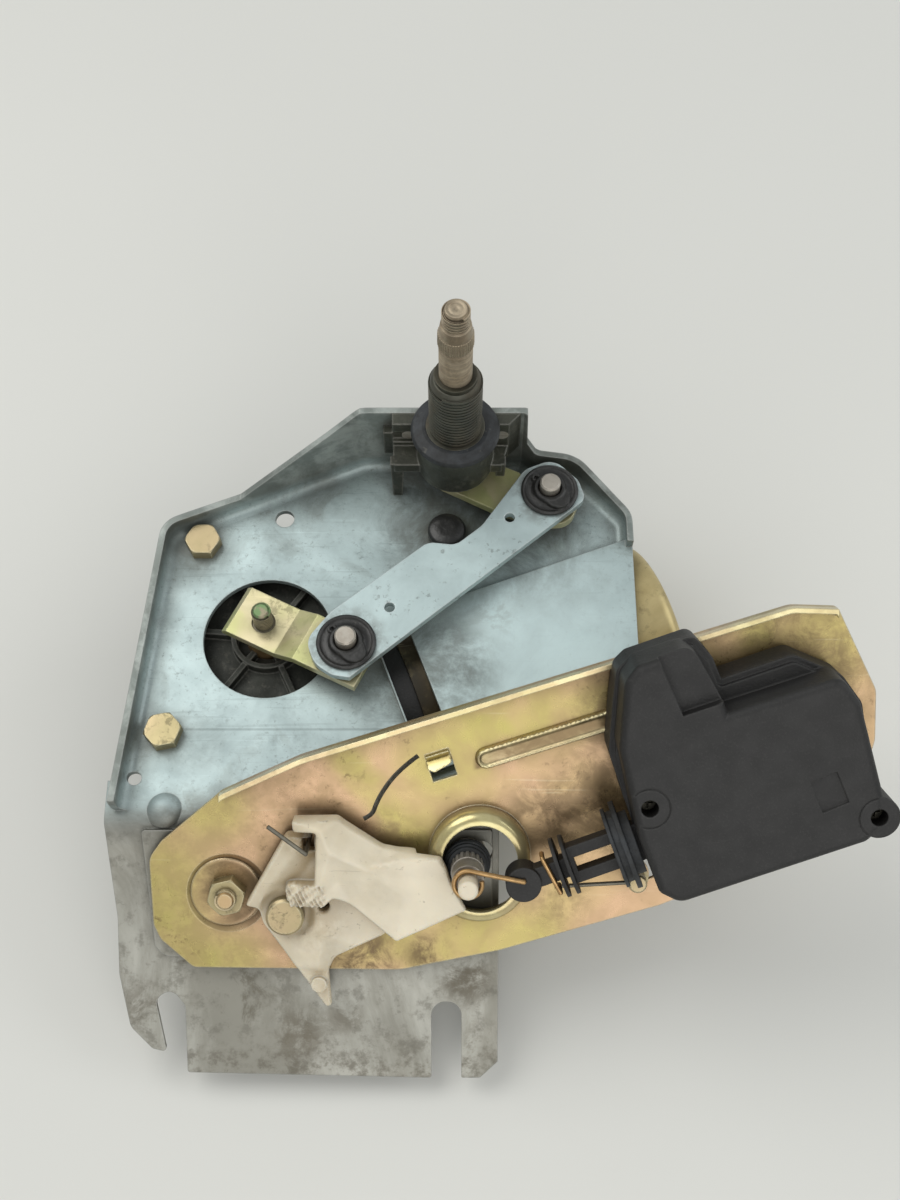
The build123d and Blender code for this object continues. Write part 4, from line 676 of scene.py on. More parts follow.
def make_finishes():
    """Every finish by the record's slot name, and a few by node name."""
    s = settings()[0]
    FINISHES.update({
        "plate_zinc": plate_zinc(s.zinc, s.dirt_and_shade),
        "link_zinc": link_zinc(s.zinc, s.dirt_and_shade),
        "yellow_zinc": chromate("pale_chromate", (0.50, 0.455, 0.25), s.dirt_and_shade * 1.2, 0.4),
        "lock_bracket": bracket_chromate(s.chromate, s.dirt_and_shade),
        "brass_zinc": chromate("bolt_chromate", (0.37, 0.32, 0.17), s.dirt_and_shade * 1.2),
        "can_zinc": can_chromate(s.dirt_and_shade),
        "cast_grey": cast_metal("gear_casting", (0.030, 0.032, 0.026)),
        "block_grey": cast_metal("block_casting", (0.040, 0.042, 0.031), 0.40, 0.5, 0.5),
        "dark_steel": plain_metal("dark_steel", (0.070, 0.066, 0.048), 0.42, 0.7, 3.0),
        "bright_steel": machined("bright_steel", (0.42, 0.39, 0.34)),
        "sintered": plain_metal("sintered", (0.42, 0.28, 0.13), 0.5),
        "copper": plain_metal("copper", (0.55, 0.25, 0.12), 0.35),
        "laminations": plain_metal("laminations", (0.12, 0.11, 0.10), 0.55, 0.5),
        "ferrite": moulded_black("ferrite", (0.05, 0.05, 0.055), 0.6, 500),
        "carbon": moulded_black("carbon", (0.03, 0.03, 0.03), 0.6, 500),
        "bronze_wire": plain_metal("bronze_wire", (0.46, 0.29, 0.13), 0.32),
        "spring_steel": plain_metal("spring_steel", (0.16, 0.15, 0.12), 0.38),
        "white_plastic": white_acetal(s.acetal, s.dirt_and_shade),
        "black_plastic": moulded_black("moulded_black", s.moulding, dust=0.08),
        "black_clip": moulded_black("clip_black", (0.013, 0.013, 0.012), 0.34, 700, 0.5),
        "rubber": rubber_black(),
        "stud_steel": stud_steel(
            "stud_steel", (0.30, 0.265, 0.18), (0.15, 0.27, 0.11), -0.0222, -0.0214,
        ),
        "nut_stud": chromate("stud_chromate", (0.46, 0.34, 0.18), s.dirt_and_shade),
        "spindle_steel": threaded_steel(
            "spindle_steel", (0.36, 0.30, 0.215), (0.045, 0.032, 0.02),
            3.45, 3.9, 0.0518, 0.0574, 0.5,
        ),
        "sleeve_steel": threaded_steel(
            "sleeve_steel", (0.090, 0.089, 0.070), (0.014, 0.014, 0.010),
            7.55, 7.95, 0.0, 0.0236, 0.25,
        ),
        "pen_mark": moulded_black("pen_mark", (0.15, 0.14, 0.105), 0.5, 700, 0.1),
    })


# --- mesh helpers
def at(x, y, z=0.0):
    """A move by mm."""
    return Matrix.Translation(Vector((x, y, z)) * MM)


def add_object(name, mesh, body, finish, smooth=None, node=None):
    """Link a finished mesh at the origin, let it ride on a body and take a node's place."""
    piece = bpy.data.objects.new(name, mesh)
    bpy.context.scene.collection.objects.link(piece)
    mesh.materials.clear()
    mesh.materials.append(finish)
    if smooth is not None:
        mesh.polygons.foreach_set("use_smooth", [True] * len(mesh.polygons))
        mesh.set_sharp_from_angle(angle=math.radians(smooth))
    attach(piece, body)
    if node is not None:
        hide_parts(node)


def as_mesh(work, name):
    """A mesh from a finished bmesh."""
    mesh = bpy.data.meshes.new(name)
    work.to_mesh(mesh)
    work.free()
    return mesh


def turned(profile, place, steps=96):
    """A closed solid turned round its own Z from (radius, height) points in mm, put in place."""
    work = bmesh.new()
    turn = [2 * math.pi * k / steps for k in range(steps)]
    rings = []
    for radius, height in profile:
        spots = [(radius * math.cos(a), radius * math.sin(a), height) for a in turn]
        if radius < 1e-6:
            spots = [(0, 0, height)]
        rings.append([work.verts.new(place @ (Vector(spot) * MM)) for spot in spots])
    pairs = list(zip(rings, rings[1:] + rings[:1]))
    if len(rings[0]) == 1 and len(rings[-1]) == 1:
        pairs = pairs[:-1]
    for low, high in pairs:
        for k in range(steps):
            n = (k + 1) % steps
            if len(low) == 1:
                work.faces.new((low[0], high[n], high[k]))
            elif len(high) == 1:
                work.faces.new((low[k], low[n], high[0]))
            else:
                work.faces.new((low[k], low[n], high[n], high[k]))
    bmesh.ops.recalc_face_normals(work, faces=work.faces)
    return as_mesh(work, "turned")


def joined(meshes, name):
    """One mesh from several."""
    work = bmesh.new()
    for mesh in meshes:
        work.from_mesh(mesh)
        bpy.data.meshes.remove(mesh)
    return as_mesh(work, name)


class Tree(Nodes):
    """A Geometry Nodes tree with named inputs, built a node at a time."""

    def __init__(self, name, **inputs):
        super().__init__(bpy.data.node_groups.new(name, "GeometryNodeTree"))
        face = self.tree.interface
        self.ids = {}
        for label, kind in {**inputs, "Material": "Material"}.items():
            item = face.new_socket(name=label, in_out="INPUT", socket_type="NodeSocket" + kind)
            self.ids[label] = item.identifier
        face.new_socket(name="Geometry", in_out="OUTPUT", socket_type="NodeSocketGeometry")
        self.given = self.add("NodeGroupInput").outputs
        self.sink = self.add("NodeGroupOutput").inputs[0]

    def finish(self, geometry):
        """End the tree: real geometry with its material."""
        real = self.add("GeometryNodeRealizeInstances", {0: geometry}).outputs[0]
        paint = self.add("GeometryNodeSetMaterial", {
            "Geometry": real, "Material": self.given["Material"],
        })
        self.feed(self.sink, paint.outputs[0])
        return self

    def sweep(self, curve, profile):
        """End the tree with a solid swept along a curve."""
        upright = self.add("GeometryNodeSetCurveNormal", {"Curve": curve}, mode="Z_UP")
        solid = self.add("GeometryNodeCurveToMesh", {
            "Curve": upright.outputs[0], "Profile Curve": profile, "Fill Caps": True,
        })
        return self.finish(solid.outputs[0])

    def mesh(self, place, **values):
        """The tree's result as a plain mesh, put in place."""
        carrier = bpy.data.objects.new("carrier", bpy.data.meshes.new("carrier"))
        bpy.context.scene.collection.objects.link(carrier)
        modifier = carrier.modifiers.new("nodes", "NODES")
        modifier.node_group = self.tree
        for label, value in values.items():
            modifier[self.ids[label]] = value
        graph = bpy.context.evaluated_depsgraph_get()
        mesh = bpy.data.meshes.new_from_object(carrier.evaluated_get(graph))
        carrier.modifiers.clear()
        bpy.data.objects.remove(carrier)
        if not len(mesh.polygons):
            raise RuntimeError(f"{self.tree.name} made no faces")
        mesh.transform(place)
        return mesh


@functools.cache
def thread_tree():
    """A helical ridge: a spiral swept with a flat-topped profile."""
    t = Tree("Screw thread", Radius="Float", Pitch="Float", Length="Float", Depth="Float")
    length, pitch, depth = (t.given[label] for label in ("Length", "Pitch", "Depth"))
    core = t.maths("SUBTRACT", t.given["Radius"], t.times(depth, 0.5))
    spiral = t.add("GeometryNodeCurveSpiral", {
        "Resolution": STEPS_A_TURN, "Rotations": t.maths("DIVIDE", length, pitch),
        "Start Radius": core, "End Radius": core, "Height": length,
    })
    profile = t.add("GeometryNodeCurvePrimitiveQuadrilateral", {
        "Bottom Width": t.times(pitch, 0.74), "Top Width": t.times(pitch, 0.16),
        "Height": depth, "Offset": 0.0,
    }, mode="TRAPEZOID")
    outward = t.add("GeometryNodeTransform", {
        "Geometry": profile.outputs[0], "Rotation": (0, 0, math.radians(-90)),
    })
    return t.sweep(spiral.outputs[0], outward.outputs[0])


def spline_tree():
    """Splines round a circle, each a small upright ridge."""
    t = Tree("Splines", Count="Int", Radius="Float", Length="Float", Width="Float")
    spline = t.add("GeometryNodeMeshCone", {
        "Vertices": 4, "Side Segments": 1, "Radius Bottom": t.given["Width"],
        "Radius Top": t.times(t.given["Width"], 0.8), "Depth": t.given["Length"],
    })
    circle = t.add("GeometryNodeMeshCircle", {
        "Vertices": t.given["Count"], "Radius": t.given["Radius"],
    })
    outward = t.add("FunctionNodeAlignRotationToVector", {
        "Vector": t.add("GeometryNodeInputPosition").outputs[0],
    }, axis="X")
    points = t.add("GeometryNodeInstanceOnPoints", {
        "Points": circle.outputs[0], "Instance": spline.outputs["Mesh"],
        "Rotation": outward.outputs[0],
    })
    return t.finish(points.outputs[0])


def stroke_tree():
    """A flat stroke along a line."""
    t = Tree("Stroke", Line="Object", Width="Float", Height="Float")
    line = t.add("GeometryNodeObjectInfo", {"Object": t.given["Line"]}, transform_space="ORIGINAL")
    even = t.add("GeometryNodeResampleCurve", {"Curve": line.outputs["Geometry"], "Count": 48})
    flat = t.add("GeometryNodeCurvePrimitiveQuadrilateral", {
        "Width": t.given["Width"], "Height": t.given["Height"],
    }, mode="RECTANGLE")
    return t.sweep(even.outputs[0], flat.outputs[0])


def smooth_line(name, points):
    """A NURBS line over points in mm."""
    curve = bpy.data.curves.new(name, "CURVE")
    curve.dimensions = "3D"
    spline = curve.splines.new("NURBS")
    spline.points.add(len(points) - 1)
    for point, place in zip(spline.points, points):
        point.co = (*(c * MM for c in place), 1.0)
    spline.order_u = 4
    spline.use_endpoint_u = True
    line = bpy.data.objects.new(name, curve)
    bpy.context.scene.collection.objects.link(line)
    return line


def screw(name, body, steel, node, place, profile, thread, more=()):
    """A turned piece with a thread of (foot, radius, pitch, length, depth), the pitch in metres."""
    foot, radius, pitch, length, depth = thread
    helix = thread_tree().mesh(
        place @ at(0, 0, foot), Radius=radius * MM, Pitch=pitch, Length=length * MM,
        Depth=depth * MM, Material=steel,
    )
    whole = joined([turned(profile, place), helix, *more], name)
    add_object(name, whole, body, steel, 35, node)


# --- sculpted mouldings
LONGEST = 0.9                      # edge of a softened outline, mm
CLOSE = 1e-5                       # corners this close are one, mm
LEAST = 0.2                        # thinnest a moulding gets, mm
AROUND = (                         # spots that a rounded height is averaged from, mm
    (0, 0), (0.5, 0), (-0.5, 0), (0, 0.5), (0, -0.5),
    (0.4, 0.4), (-0.4, 0.4), (0.4, -0.4), (-0.4, -0.4),
)


def inside(x, y, ring):
    """True when a point lies inside a ring of corners."""
    hit = False
    for (ax, ay), (bx, by) in zip(ring, ring[1:] + ring[:1]):
        if (ay > y) != (by > y) and x < (bx - ax) * (y - ay) / (by - ay) + ax:
            hit = not hit
    return hit


def reach(x, y, ring):
    """Distance from a point to a ring's nearest edge."""
    best = 1e9
    for (ax, ay), (bx, by) in zip(ring, ring[1:] + ring[:1]):
        dx, dy = bx - ax, by - ay
        t = max(0.0, min(1.0, ((x - ax) * dx + (y - ay) * dy) / (dx * dx + dy * dy)))
        best = min(best, math.hypot(x - ax - t * dx, y - ay - t * dy))
    return best


def softened(ring, radius, parts=5):
    """The ring with each corner rounded, then cut into short edges."""
    corners = []
    count = len(ring)
    for k in range(count):
        here, before, after = (Vector(ring[j % count]) for j in (k, k - 1, k + 1))
        back, on = before - here, after - here
        cut = min(radius, back.length * 0.45, on.length * 0.45)
        a, b = here + back.normalized() * cut, here + on.normalized() * cut
        for j in range(parts + 1):
            t = j / parts
            corners.append(a * (1 - t) ** 2 + here * 2 * t * (1 - t) + b * t * t)
    out = []
    for a, b in zip(corners, corners[1:] + corners[:1]):
        cuts = max(1, math.ceil((b - a).length / LONGEST))
        out += [tuple(a.lerp(b, j / cuts)) for j in range(cuts)]
    return out


def circle(x, y, radius, steps=40):
    """A ring of corners round a point."""
    turn = [2 * math.pi * k / steps for k in range(steps)]
    return [(x + radius * math.cos(a), y + radius * math.sin(a)) for a in turn]


def smooth(value, low, high):
    """0 at low, 1 at high, with soft ends."""
    t = max(0.0, min(1.0, (value - low) / (high - low)))
    return t * t * (3 - 2 * t)


def relief_at(x, y, net):
    """Height at a point, blended from a net of (x, y, height) corners."""
    total = weight = 0.0
    for px, py, height in net:
        w = 1.0 / ((x - px) ** 2 + (y - py) ** 2 + 0.3) ** 2
        total, weight = total + w * height, weight + w
    return total / weight


def facets(net, creases):
    """Height over a net of (x, y, height) corners: flat facets, rounded where they meet."""
    spots = [Vector(corner[:2]) for corner in net]
    flat, _, faces, corners, *_ = delaunay_2d_cdt(spots, creases, [], 0, CLOSE)
    heights = [net[c[0]][2] if c else relief_at(v.x, v.y, net) for v, c in zip(flat, corners)]
    planes = []
    for face in faces:
        a, b, c = (flat[k] for k in face)
        planes.append((a, b, c, *(heights[k] for k in face), (b - a).cross(c - a)))

    def flat_height(x, y):
        p = Vector((x, y))
        for a, b, c, ha, hb, hc, area in planes:
            pa, pb, pc = a - p, b - p, c - p
            u, v, w = (q.cross(r) / area for q, r in ((pb, pc), (pc, pa), (pa, pb)))
            if min(u, v, w) >= -0.02:
                return u * ha + v * hb + w * hc
        return relief_at(x, y, net)

    def height(x, y):
        return sum(flat_height(x + dx, y + dy) for dx, dy in AROUND) / len(AROUND)

    return height


def moulding(outline, holes, top, floor, edge, step, place):
    """A closed solid over an outline: sculpted top, rounded edge, upright sides and a floor."""
    rings = [outline, *holes]
    points, edges = [], []
    for ring in rings:
        start = len(points)
        points += [Vector(c) for c in ring]
        edges += [(start + k, start + (k + 1) % len(ring)) for k in range(len(ring))]
    xs, ys = [c[0] for c in outline], [c[1] for c in outline]

    def filled(x, y):
        return inside(x, y, outline) and not any(inside(x, y, hole) for hole in holes)

    def margin(x, y):
        return min(reach(x, y, ring) for ring in rings) if filled(x, y) else -1.0

    for ring, turn in [(outline, 1)] + [(hole, -1) for hole in holes]:
        area = sum(a[0] * b[1] - b[0] * a[1] for a, b in zip(ring, ring[1:] + ring[:1]))
        side = turn * (1 if area > 0 else -1)
        for a, b in zip(ring, ring[1:] + ring[:1]):
            normal = Vector((a[1] - b[1], b[0] - a[0])).normalized() * side
            for depth in (0.12, 0.35, 0.7, 1.0):
                spot = (Vector(a) + Vector(b)) / 2 + normal * edge * depth
                if margin(*spot) > edge * depth * 0.93:
                    points.append(spot)
    rows = int((max(ys) - min(ys)) / step)
    for j in range(rows):
        y = min(ys) + (j + 0.5) * step
        for k in range(int((max(xs) - min(xs)) / step)):
            x = min(xs) + (k + 0.5 + 0.5 * (j % 2)) * step
            if margin(x, y) > edge + LEAST:
                points.append(Vector((x, y)))
    flat, _, faces, *_ = delaunay_2d_cdt(points, edges, [], 0, CLOSE)
    work = bmesh.new()
    upper, lower = [], []
    for spot in flat:
        short = max(0.0, edge - max(0.0, margin(*spot)))
        drop = edge - math.sqrt(max(0.0, edge * edge - short ** 2))
        base = floor(*spot)
        height = max(base + LEAST, top(*spot) - drop)
        for side, z in ((upper, height), (lower, base)):
            side.append(work.verts.new(place @ (Vector((*spot, z)) * MM)))
    used = set()
    for face in faces:
        x, y = (sum(flat[k][c] for k in face) / len(face) for c in (0, 1))
        if not filled(x, y):
            continue
        work.faces.new([upper[k] for k in face])
        work.faces.new([lower[k] for k in reversed(face)])
        for a, b in zip(face, list(face[1:]) + [face[0]]):
            used.add((a, b))
    for a, b in sorted(used):
        if (b, a) not in used:
            work.faces.new((upper[b], upper[a], lower[a], lower[b]))
    loose = [v for v in work.verts if not v.link_faces]
    bmesh.ops.delete(work, geom=loose, context="VERTS")
    bmesh.ops.recalc_face_normals(work, faces=work.faces)
    return as_mesh(work, "moulding")


def slot_ring(x, y, turn, length, width):
    """A round-ended slot's outline, turned by degrees about its middle."""
    a = math.radians(turn)
    half, r = (length - width) / 2, width / 2
    ring = []
    for side, way in ((0, half), (1, -half)):
        for k in range(17):
            t = a + math.pi * (side - 0.5 + k / 16)
            ring.append((
                x + way * math.cos(a) + r * math.cos(t), y + way * math.sin(a) + r * math.sin(t),
            ))
    out = []
    for (ax, ay), (bx, by) in zip(ring, ring[1:] + ring[:1]):
        cuts = max(1, math.ceil(math.hypot(bx - ax, by - ay)))
        out += [(ax + (bx - ax) * j / cuts, ay + (by - ay) * j / cuts) for j in range(cuts)]
    return out


# --- operators
class WIPER_OT_finishes(bpy.types.Operator):
    """Give every CAD node its procedural finish"""

    bl_idname = "wiper.finishes"
    bl_label = "Finishes"

    def execute(self, context):
        make_finishes()
        slots = {p["node"]: p["material_slot"] for p in FRAME["record"]["subparts"]}
        slots["lock_bracket"] = "lock_bracket"
        for name, node in FRAME["nodes"].items():
            key = slots[name]
            if key not in FINISHES:
                raise RuntimeError(f"no finish for {key}")
            for slot in node.material_slots:
                slot.material = FINISHES[key]
        return {"FINISHED"}


class WIPER_OT_sleeve(bpy.types.Operator):
    """Cut the thread on the sleeve round the spindle"""

    bl_idname = "wiper.sleeve"
    bl_label = "Sleeve thread"

    def execute(self, context):
        core = [
            (5.6, -12.0), (6.3, -12.0), (6.3, -4.0), (9.0, -4.0), (9.0, 0.0), (7.45, 0.0),
            (7.45, 24.0), (7.1, 24.8), (6.4, 25.5), (5.3, 25.5), (5.0, 25.2), (5.0, 24.0),
            (5.6, 23.4),
        ]
        screw(
            "sleeve_thread", "mount", FINISHES["sleeve_steel"], "threaded_tube",
            at(0, 0), core, (0.7, 8.0, settings()[1].sleeve_pitch, 23.0, 0.65),
        )
        return {"FINISHED"}


class WIPER_OT_spindle(bpy.types.Operator):
    """Make the wiper spindle with its splines and end thread"""

    bl_idname = "wiper.spindle"
    bl_label = "Spindle"

    def execute(self, context):
        steel = FINISHES["spindle_steel"]
        thread = settings()[1]
        core = [
            (0, -30.7), (6.4, -30.7), (6.4, -29.5), (4.85, -29.5), (4.85, 41.2), (4.6, 41.6),
            (4.6, 42.2), (4.85, 42.6), (4.85, 47.5), (4.8, 47.9), (4.35, 51.2), (3.5, 51.7),
            (3.35, 52.0), (3.35, 57.2), (3.0, 58.0), (2.2, 58.0), (2.05, 57.9), (1.9, 58.0),
            (0.8, 58.0), (0, 57.5),
        ]
        splines = spline_tree().mesh(
            at(0, 0, 42.6), Count=thread.splines, Radius=4.84 * MM, Length=4.9 * MM,
            Width=0.36 * MM, Material=steel,
        )
        screw(
            "spindle_splined", "spindle", steel, "spindle_shaft",
            at(0, 0), core, (51.9, 4.0, thread.spindle_pitch, 5.2, 0.7), [splines],
        )
        return {"FINISHED"}


class WIPER_OT_studs(bpy.types.Operator):
    """Thread the crank stud and the lock bracket's stud"""

    bl_idname = "wiper.studs"
    bl_label = "Stud threads"

    def execute(self, context):
        pitch = settings()[1].stud_pitch
        core = [
            (0, -52.0), (5.0, -52.0), (5.0, 2.2), (3.6, 5.0), (2.5, 5.3), (2.5, 13.4),
            (2.0, 14.0), (0, 14.0),
        ]
        screw(
            "output_stud", "output", FINISHES["stud_steel"], "output_shaft",
            LEVEL @ at(-58.5, -52.0), core, (5.2, 3.0, pitch, 8.1, 0.52),
        )
        core = [
            (0, -2.0), (5.5, -2.0), (5.5, -0.5), (3.0, -0.5), (3.0, 3.2), (2.5, 3.6),
            (2.5, 10.0), (2.1, 10.6), (0, 10.6),
        ]
        screw(
            "dish_stud", "mount", FINISHES["nut_stud"], "bracket_stud",
            WING @ at(-66.3, -20.9), core, (3.5, 3.0, pitch, 6.6, 0.52),
        )
        return {"FINISHED"}


class WIPER_OT_release_lever(bpy.types.Operator):
    """Sculpt the white release lever: its stepped body, its pocket and the thin leaf under it"""

    bl_idname = "wiper.release_lever"
    bl_label = "Release lever"

    LEAF = [
        (-60.6, -22.6), (-56.6, -23.4), (-55.6, -28.0), (-37.9, -54.6), (-36.2, -54.2),
        (-37.0, -42.8), (-35.0, -38.6), (-20.0, -31.2), (-16.0, -20.0), (-16.0, -6.0),
        (-34.0, -2.0), (-48.4, -0.8),
    ]
    BODY = [
        (-46.3, 4.3), (-33.4, 4.5), (-31.7, 3.1), (-20.9, -4.2), (-16.6, -5.1),
        (-13.7, -5.3), (-4.1, -6.7), (-2.4, -10.2), (-1.0, -14.8), (3.1, -22.4),
        (-17.0, -31.8), (-30.2, -20.5), (-34.9, -18.6), (-37.8, -21.2), (-47.3, -21.5),
        (-48.6, -17.8), (-48.1, -14.8), (-40.1, -14.7), (-39.3, 1.5), (-45.8, 1.3),
    ]
    BODY_NET = [
        (-45.9, 5.0, 13.8), (-33.2, 4.6, 12.4), (-38.1, 2.5, 16.4), (-39.8, -19.0, 14.8),
        (-36.2, -18.0, 14.2), (-35.5, -3.9, 16.8), (-25.7, -9.3, 15.3), (-20.8, -4.2, 11.6),
        (-16.5, -5.2, 11.8), (-4.1, -6.9, 13.0), (-14.5, -6.4, 15.4), (-4.9, -6.7, 14.8),
        (3.1, -22.3, 13.8), (-17.0, -31.6, 14.0), (-30.2, -20.1, 13.4), (-33.8, -13.7, 13.6),
        (-14.6, -18.0, 15.0), (-2.4, -10.0, 14.6), (-45.8, 1.8, 14.6), (-48.2, -21.3, 13.2),
        (-48.2, -14.7, 12.8), (-40.3, -14.1, 14.6),
    ]
    LEAF_NET = [
        (-49.4, -0.8, 12.4), (-44.6, -3.9, 13.0), (-60.3, -22.4, 10.0), (-55.0, -17.7, 10.8),
        (-52.1, -14.6, 11.2), (-43.6, -12.7, 8.9), (-40.5, -7.6, 9.2), (-40.6, -14.9, 9.6),
        (-48.0, -15.9, 9.0), (-51.9, -30.5, 9.3), (-38.4, -30.6, 12.0), (-39.8, -41.0, 11.4),
        (-39.9, -43.2, 9.0), (-34.7, -37.6, 9.2), (-48.3, -41.8, 8.6), (-43.7, -49.6, 8.4),
        (-37.0, -42.7, 8.9), (-36.4, -54.5, 8.2), (-28.3, -35.1, 9.4), (-20.3, -31.8, 9.6),
        (-30.5, -24.4, 9.8), (-46.4, -32.9, 9.7), (-16.0, -6.0, 9.4), (-34.0, -2.0, 9.6),
    ]
    BODY_CREASES = [
        (0, 2), (2, 5), (5, 6), (6, 10), (10, 11), (11, 17), (6, 7), (5, 15), (4, 15), (2, 3),
        (15, 16), (1, 5), (18, 2),
    ]
    LEAF_CREASES = [(1, 3), (0, 3), (10, 11), (9, 11), (11, 13), (10, 21), (12, 17), (3, 4)]
    SPRING_WAY = [(-43.6, -5.6), (-40.2, -5.6), (-40.2, -1.4), (-43.6, -1.4)]
    STUD = (-48.9, -24.9)
    TORN = (-37.4, -14.4)              # the torn ledge lies left of and below this corner
    LEAF_FLOOR, BODY_FLOOR, BRIDGE_FLOOR = 6.4, 8.0, 11.7
    BRIDGE_X = -11.2                   # the body bridges the post's way right of this

    def execute(self, context):
        body_facets = facets(self.BODY_NET, self.BODY_CREASES)
        leaf_facets = facets(self.LEAF_NET, self.LEAF_CREASES)

        def body_top(x, y):
            height = body_facets(x, y)
            if x < self.TORN[0] and y < self.TORN[1]:
                height += 0.6 * math.sin(3.1 * x) * math.sin(2.3 * y + x)
                height += 0.4 * math.sin(5.3 * x + 1.9 * y)
            return height

        def body_floor(x, y):
            return self.BRIDGE_FLOOR if x > self.BRIDGE_X else self.BODY_FLOOR

        def leaf_top(x, y):
            relief = 9.3 + max(0.0, math.dist((x, y), self.STUD) - 7.0)
            return min(leaf_facets(x, y), relief)

        holes = [
            circle(*self.STUD, 3.95), circle(-37.9, -22.4, 1.6, 24),
            softened(self.SPRING_WAY, 0.3, 2),
        ]
        leaf = moulding(
            softened(self.LEAF, 1.4), holes, leaf_top, lambda x, y: self.LEAF_FLOOR,
            0.8, 0.85, WING,
        )
        body = moulding(softened(self.BODY, 0.9), [], body_top, body_floor, 0.7, 0.65, WING)
        tip = turned(
            [(0, 8.4), (2.3, 8.4), (2.3, 10.0), (2.05, 10.2), (1.75, 10.05), (0, 10.05)],
            WING @ at(-39.7, -46.8),
        )
        add_object(
            "release_lever_moulding", joined([leaf, body, tip], "lever"),
            "release", FINISHES["white_plastic"], 38, "release_lever",
        )
        return {"FINISHED"}


class WIPER_OT_clips(bpy.types.Operator):
    """Make the two push-on clips that hold the link on its pins"""

    bl_idname = "wiper.clips"
    bl_label = "Pin clips"

    def execute(self, context):
        plate = [
            (3.25, 0.0), (8.6, 0.0), (9.0, 0.4), (8.9, 0.9), (8.3, 1.3), (7.9, 1.2),
            (7.5, 0.75), (6.9, 0.7), (5.6, 0.9), (5.2, 1.2), (5.0, 2.3), (4.6, 2.7),
            (3.8, 2.75), (3.6, 2.3), (3.6, 1.4), (3.25, 1.3),
        ]
        lobe = softened([
            (-2.6, -4.1), (0.4, -6.8), (3.2, -7.4), (5.6, -6.2), (6.4, -3.6), (4.9, 0.2),
            (3.4, -2.4), (1.0, -4.1),
        ], 1.5)
        ring = [(0.6, 0.6), (1.4, 0.6), (1.4, 1.7), (1.2, 1.95), (0.8, 1.95), (0.6, 1.7)]
        for name, node, body, x, y in (
            ("crank_pin_clip", "crank_clip", "output", -32.6, -61.9),
            ("lever_pin_clip", "lever_clip", "spindle", 29.6, -9.7),
        ):
            here = LEVEL @ at(x, y, 12.2)
            shape = joined([
                turned(plate, here),
                moulding(lobe, [], lambda x, y: 2.5, lambda x, y: 0.5, 0.5, 0.8, here),
                turned(ring, here @ at(-4.2, 3.9), 32),
            ], name)
            add_object(name, shape, body, FINISHES["black_clip"], 35, node)
        return {"FINISHED"}


class WIPER_OT_bracket_fittings(bpy.types.Operator):
    """Add the dish washer, the rolled lip of the stiffening bead and the lanced tab"""

    bl_idname = "wiper.bracket_fittings"
    bl_label = "Bracket fittings"

    BEAD = (27.4, 26.2, 18.0, 45.6, 6.6)
    TAB = [(-3.8, 3.4), (3.6, 3.4), (3.4, 1.4), (2.2, 0.9), (-2.2, 0.1), (-3.8, 1.2)]

    def execute(self, context):
        washer = turned(
            [(4.6, 2.9), (10.2, 2.9), (10.4, 3.1), (10.4, 3.6), (10.1, 3.85), (9.4, 3.9),
             (9.0, 3.75), (4.6, 3.7)],
            WING @ at(-66.9, -20.7),
        )
        outline = slot_ring(*self.BEAD)

        def lip(x, y):
            deep = reach(x, y, outline)
            return 4.15 + 1.75 * smooth(deep, 0.0, 0.75) - 0.62 * smooth(deep, 0.9, 1.9)

        bead = moulding(outline, [], lip, lambda x, y: 3.7, 0.1, 0.42, WING)
        turn = Matrix.Rotation(math.radians(self.BEAD[2]), 4, "Z")
        tab = moulding(
            softened(self.TAB, 0.4, 3), [], lambda x, y: 4.2 + 0.75 * (3.4 - y),
            lambda x, y: 3.2, 0.2, 0.5, WING @ at(-3.9, 17.0) @ turn,
        )
        for name, mesh, smooth_below in (
            ("dish_washer", washer, 35), ("bead_lip", bead, 60), ("lanced_tab", tab, 40),
        ):
            add_object(name, mesh, "mount", FINISHES["lock_bracket"], smooth_below)
        return {"FINISHED"}


class WIPER_OT_rubbers(bpy.types.Operator):
    """Turn the ribbed rubber ring of the lock post and the domed rubber stop"""

    bl_idname = "wiper.rubbers"
    bl_label = "Rubber pieces"

    RING = [
        (4.0, 4.4), (6.6, 4.4), (6.8, 4.8), (6.7, 5.3), (6.1, 5.6), (6.7, 5.9), (6.7, 6.5),
        (5.8, 6.8), (6.3, 7.1), (6.3, 7.7), (5.4, 8.0), (5.8, 8.4), (5.7, 8.9), (4.9, 9.2),
        (4.0, 9.2),
    ]
    STOP = [
        (0, -4.0), (4.4, -4.0), (4.4, -2.4), (3.0, -2.0), (3.0, 0.0), (5.8, 0.0), (6.0, 0.4),
        (6.0, 3.6), (5.4, 4.6), (4.2, 5.1), (2.0, 5.2), (0, 5.0),
    ]

    def execute(self, context):
        add_object(
            "ribbed_post_ring", turned(self.RING, WING @ at(3.4, -10.8)), "slider",
            FINISHES["rubber"], 25, "post_ring",
        )
        add_object(
            "domed_stop", turned(self.STOP, LEVEL @ at(-2.6, -19.0)), "mount",
            FINISHES["black_clip"], 30, "rubber_stop",
        )
        return {"FINISHED"}


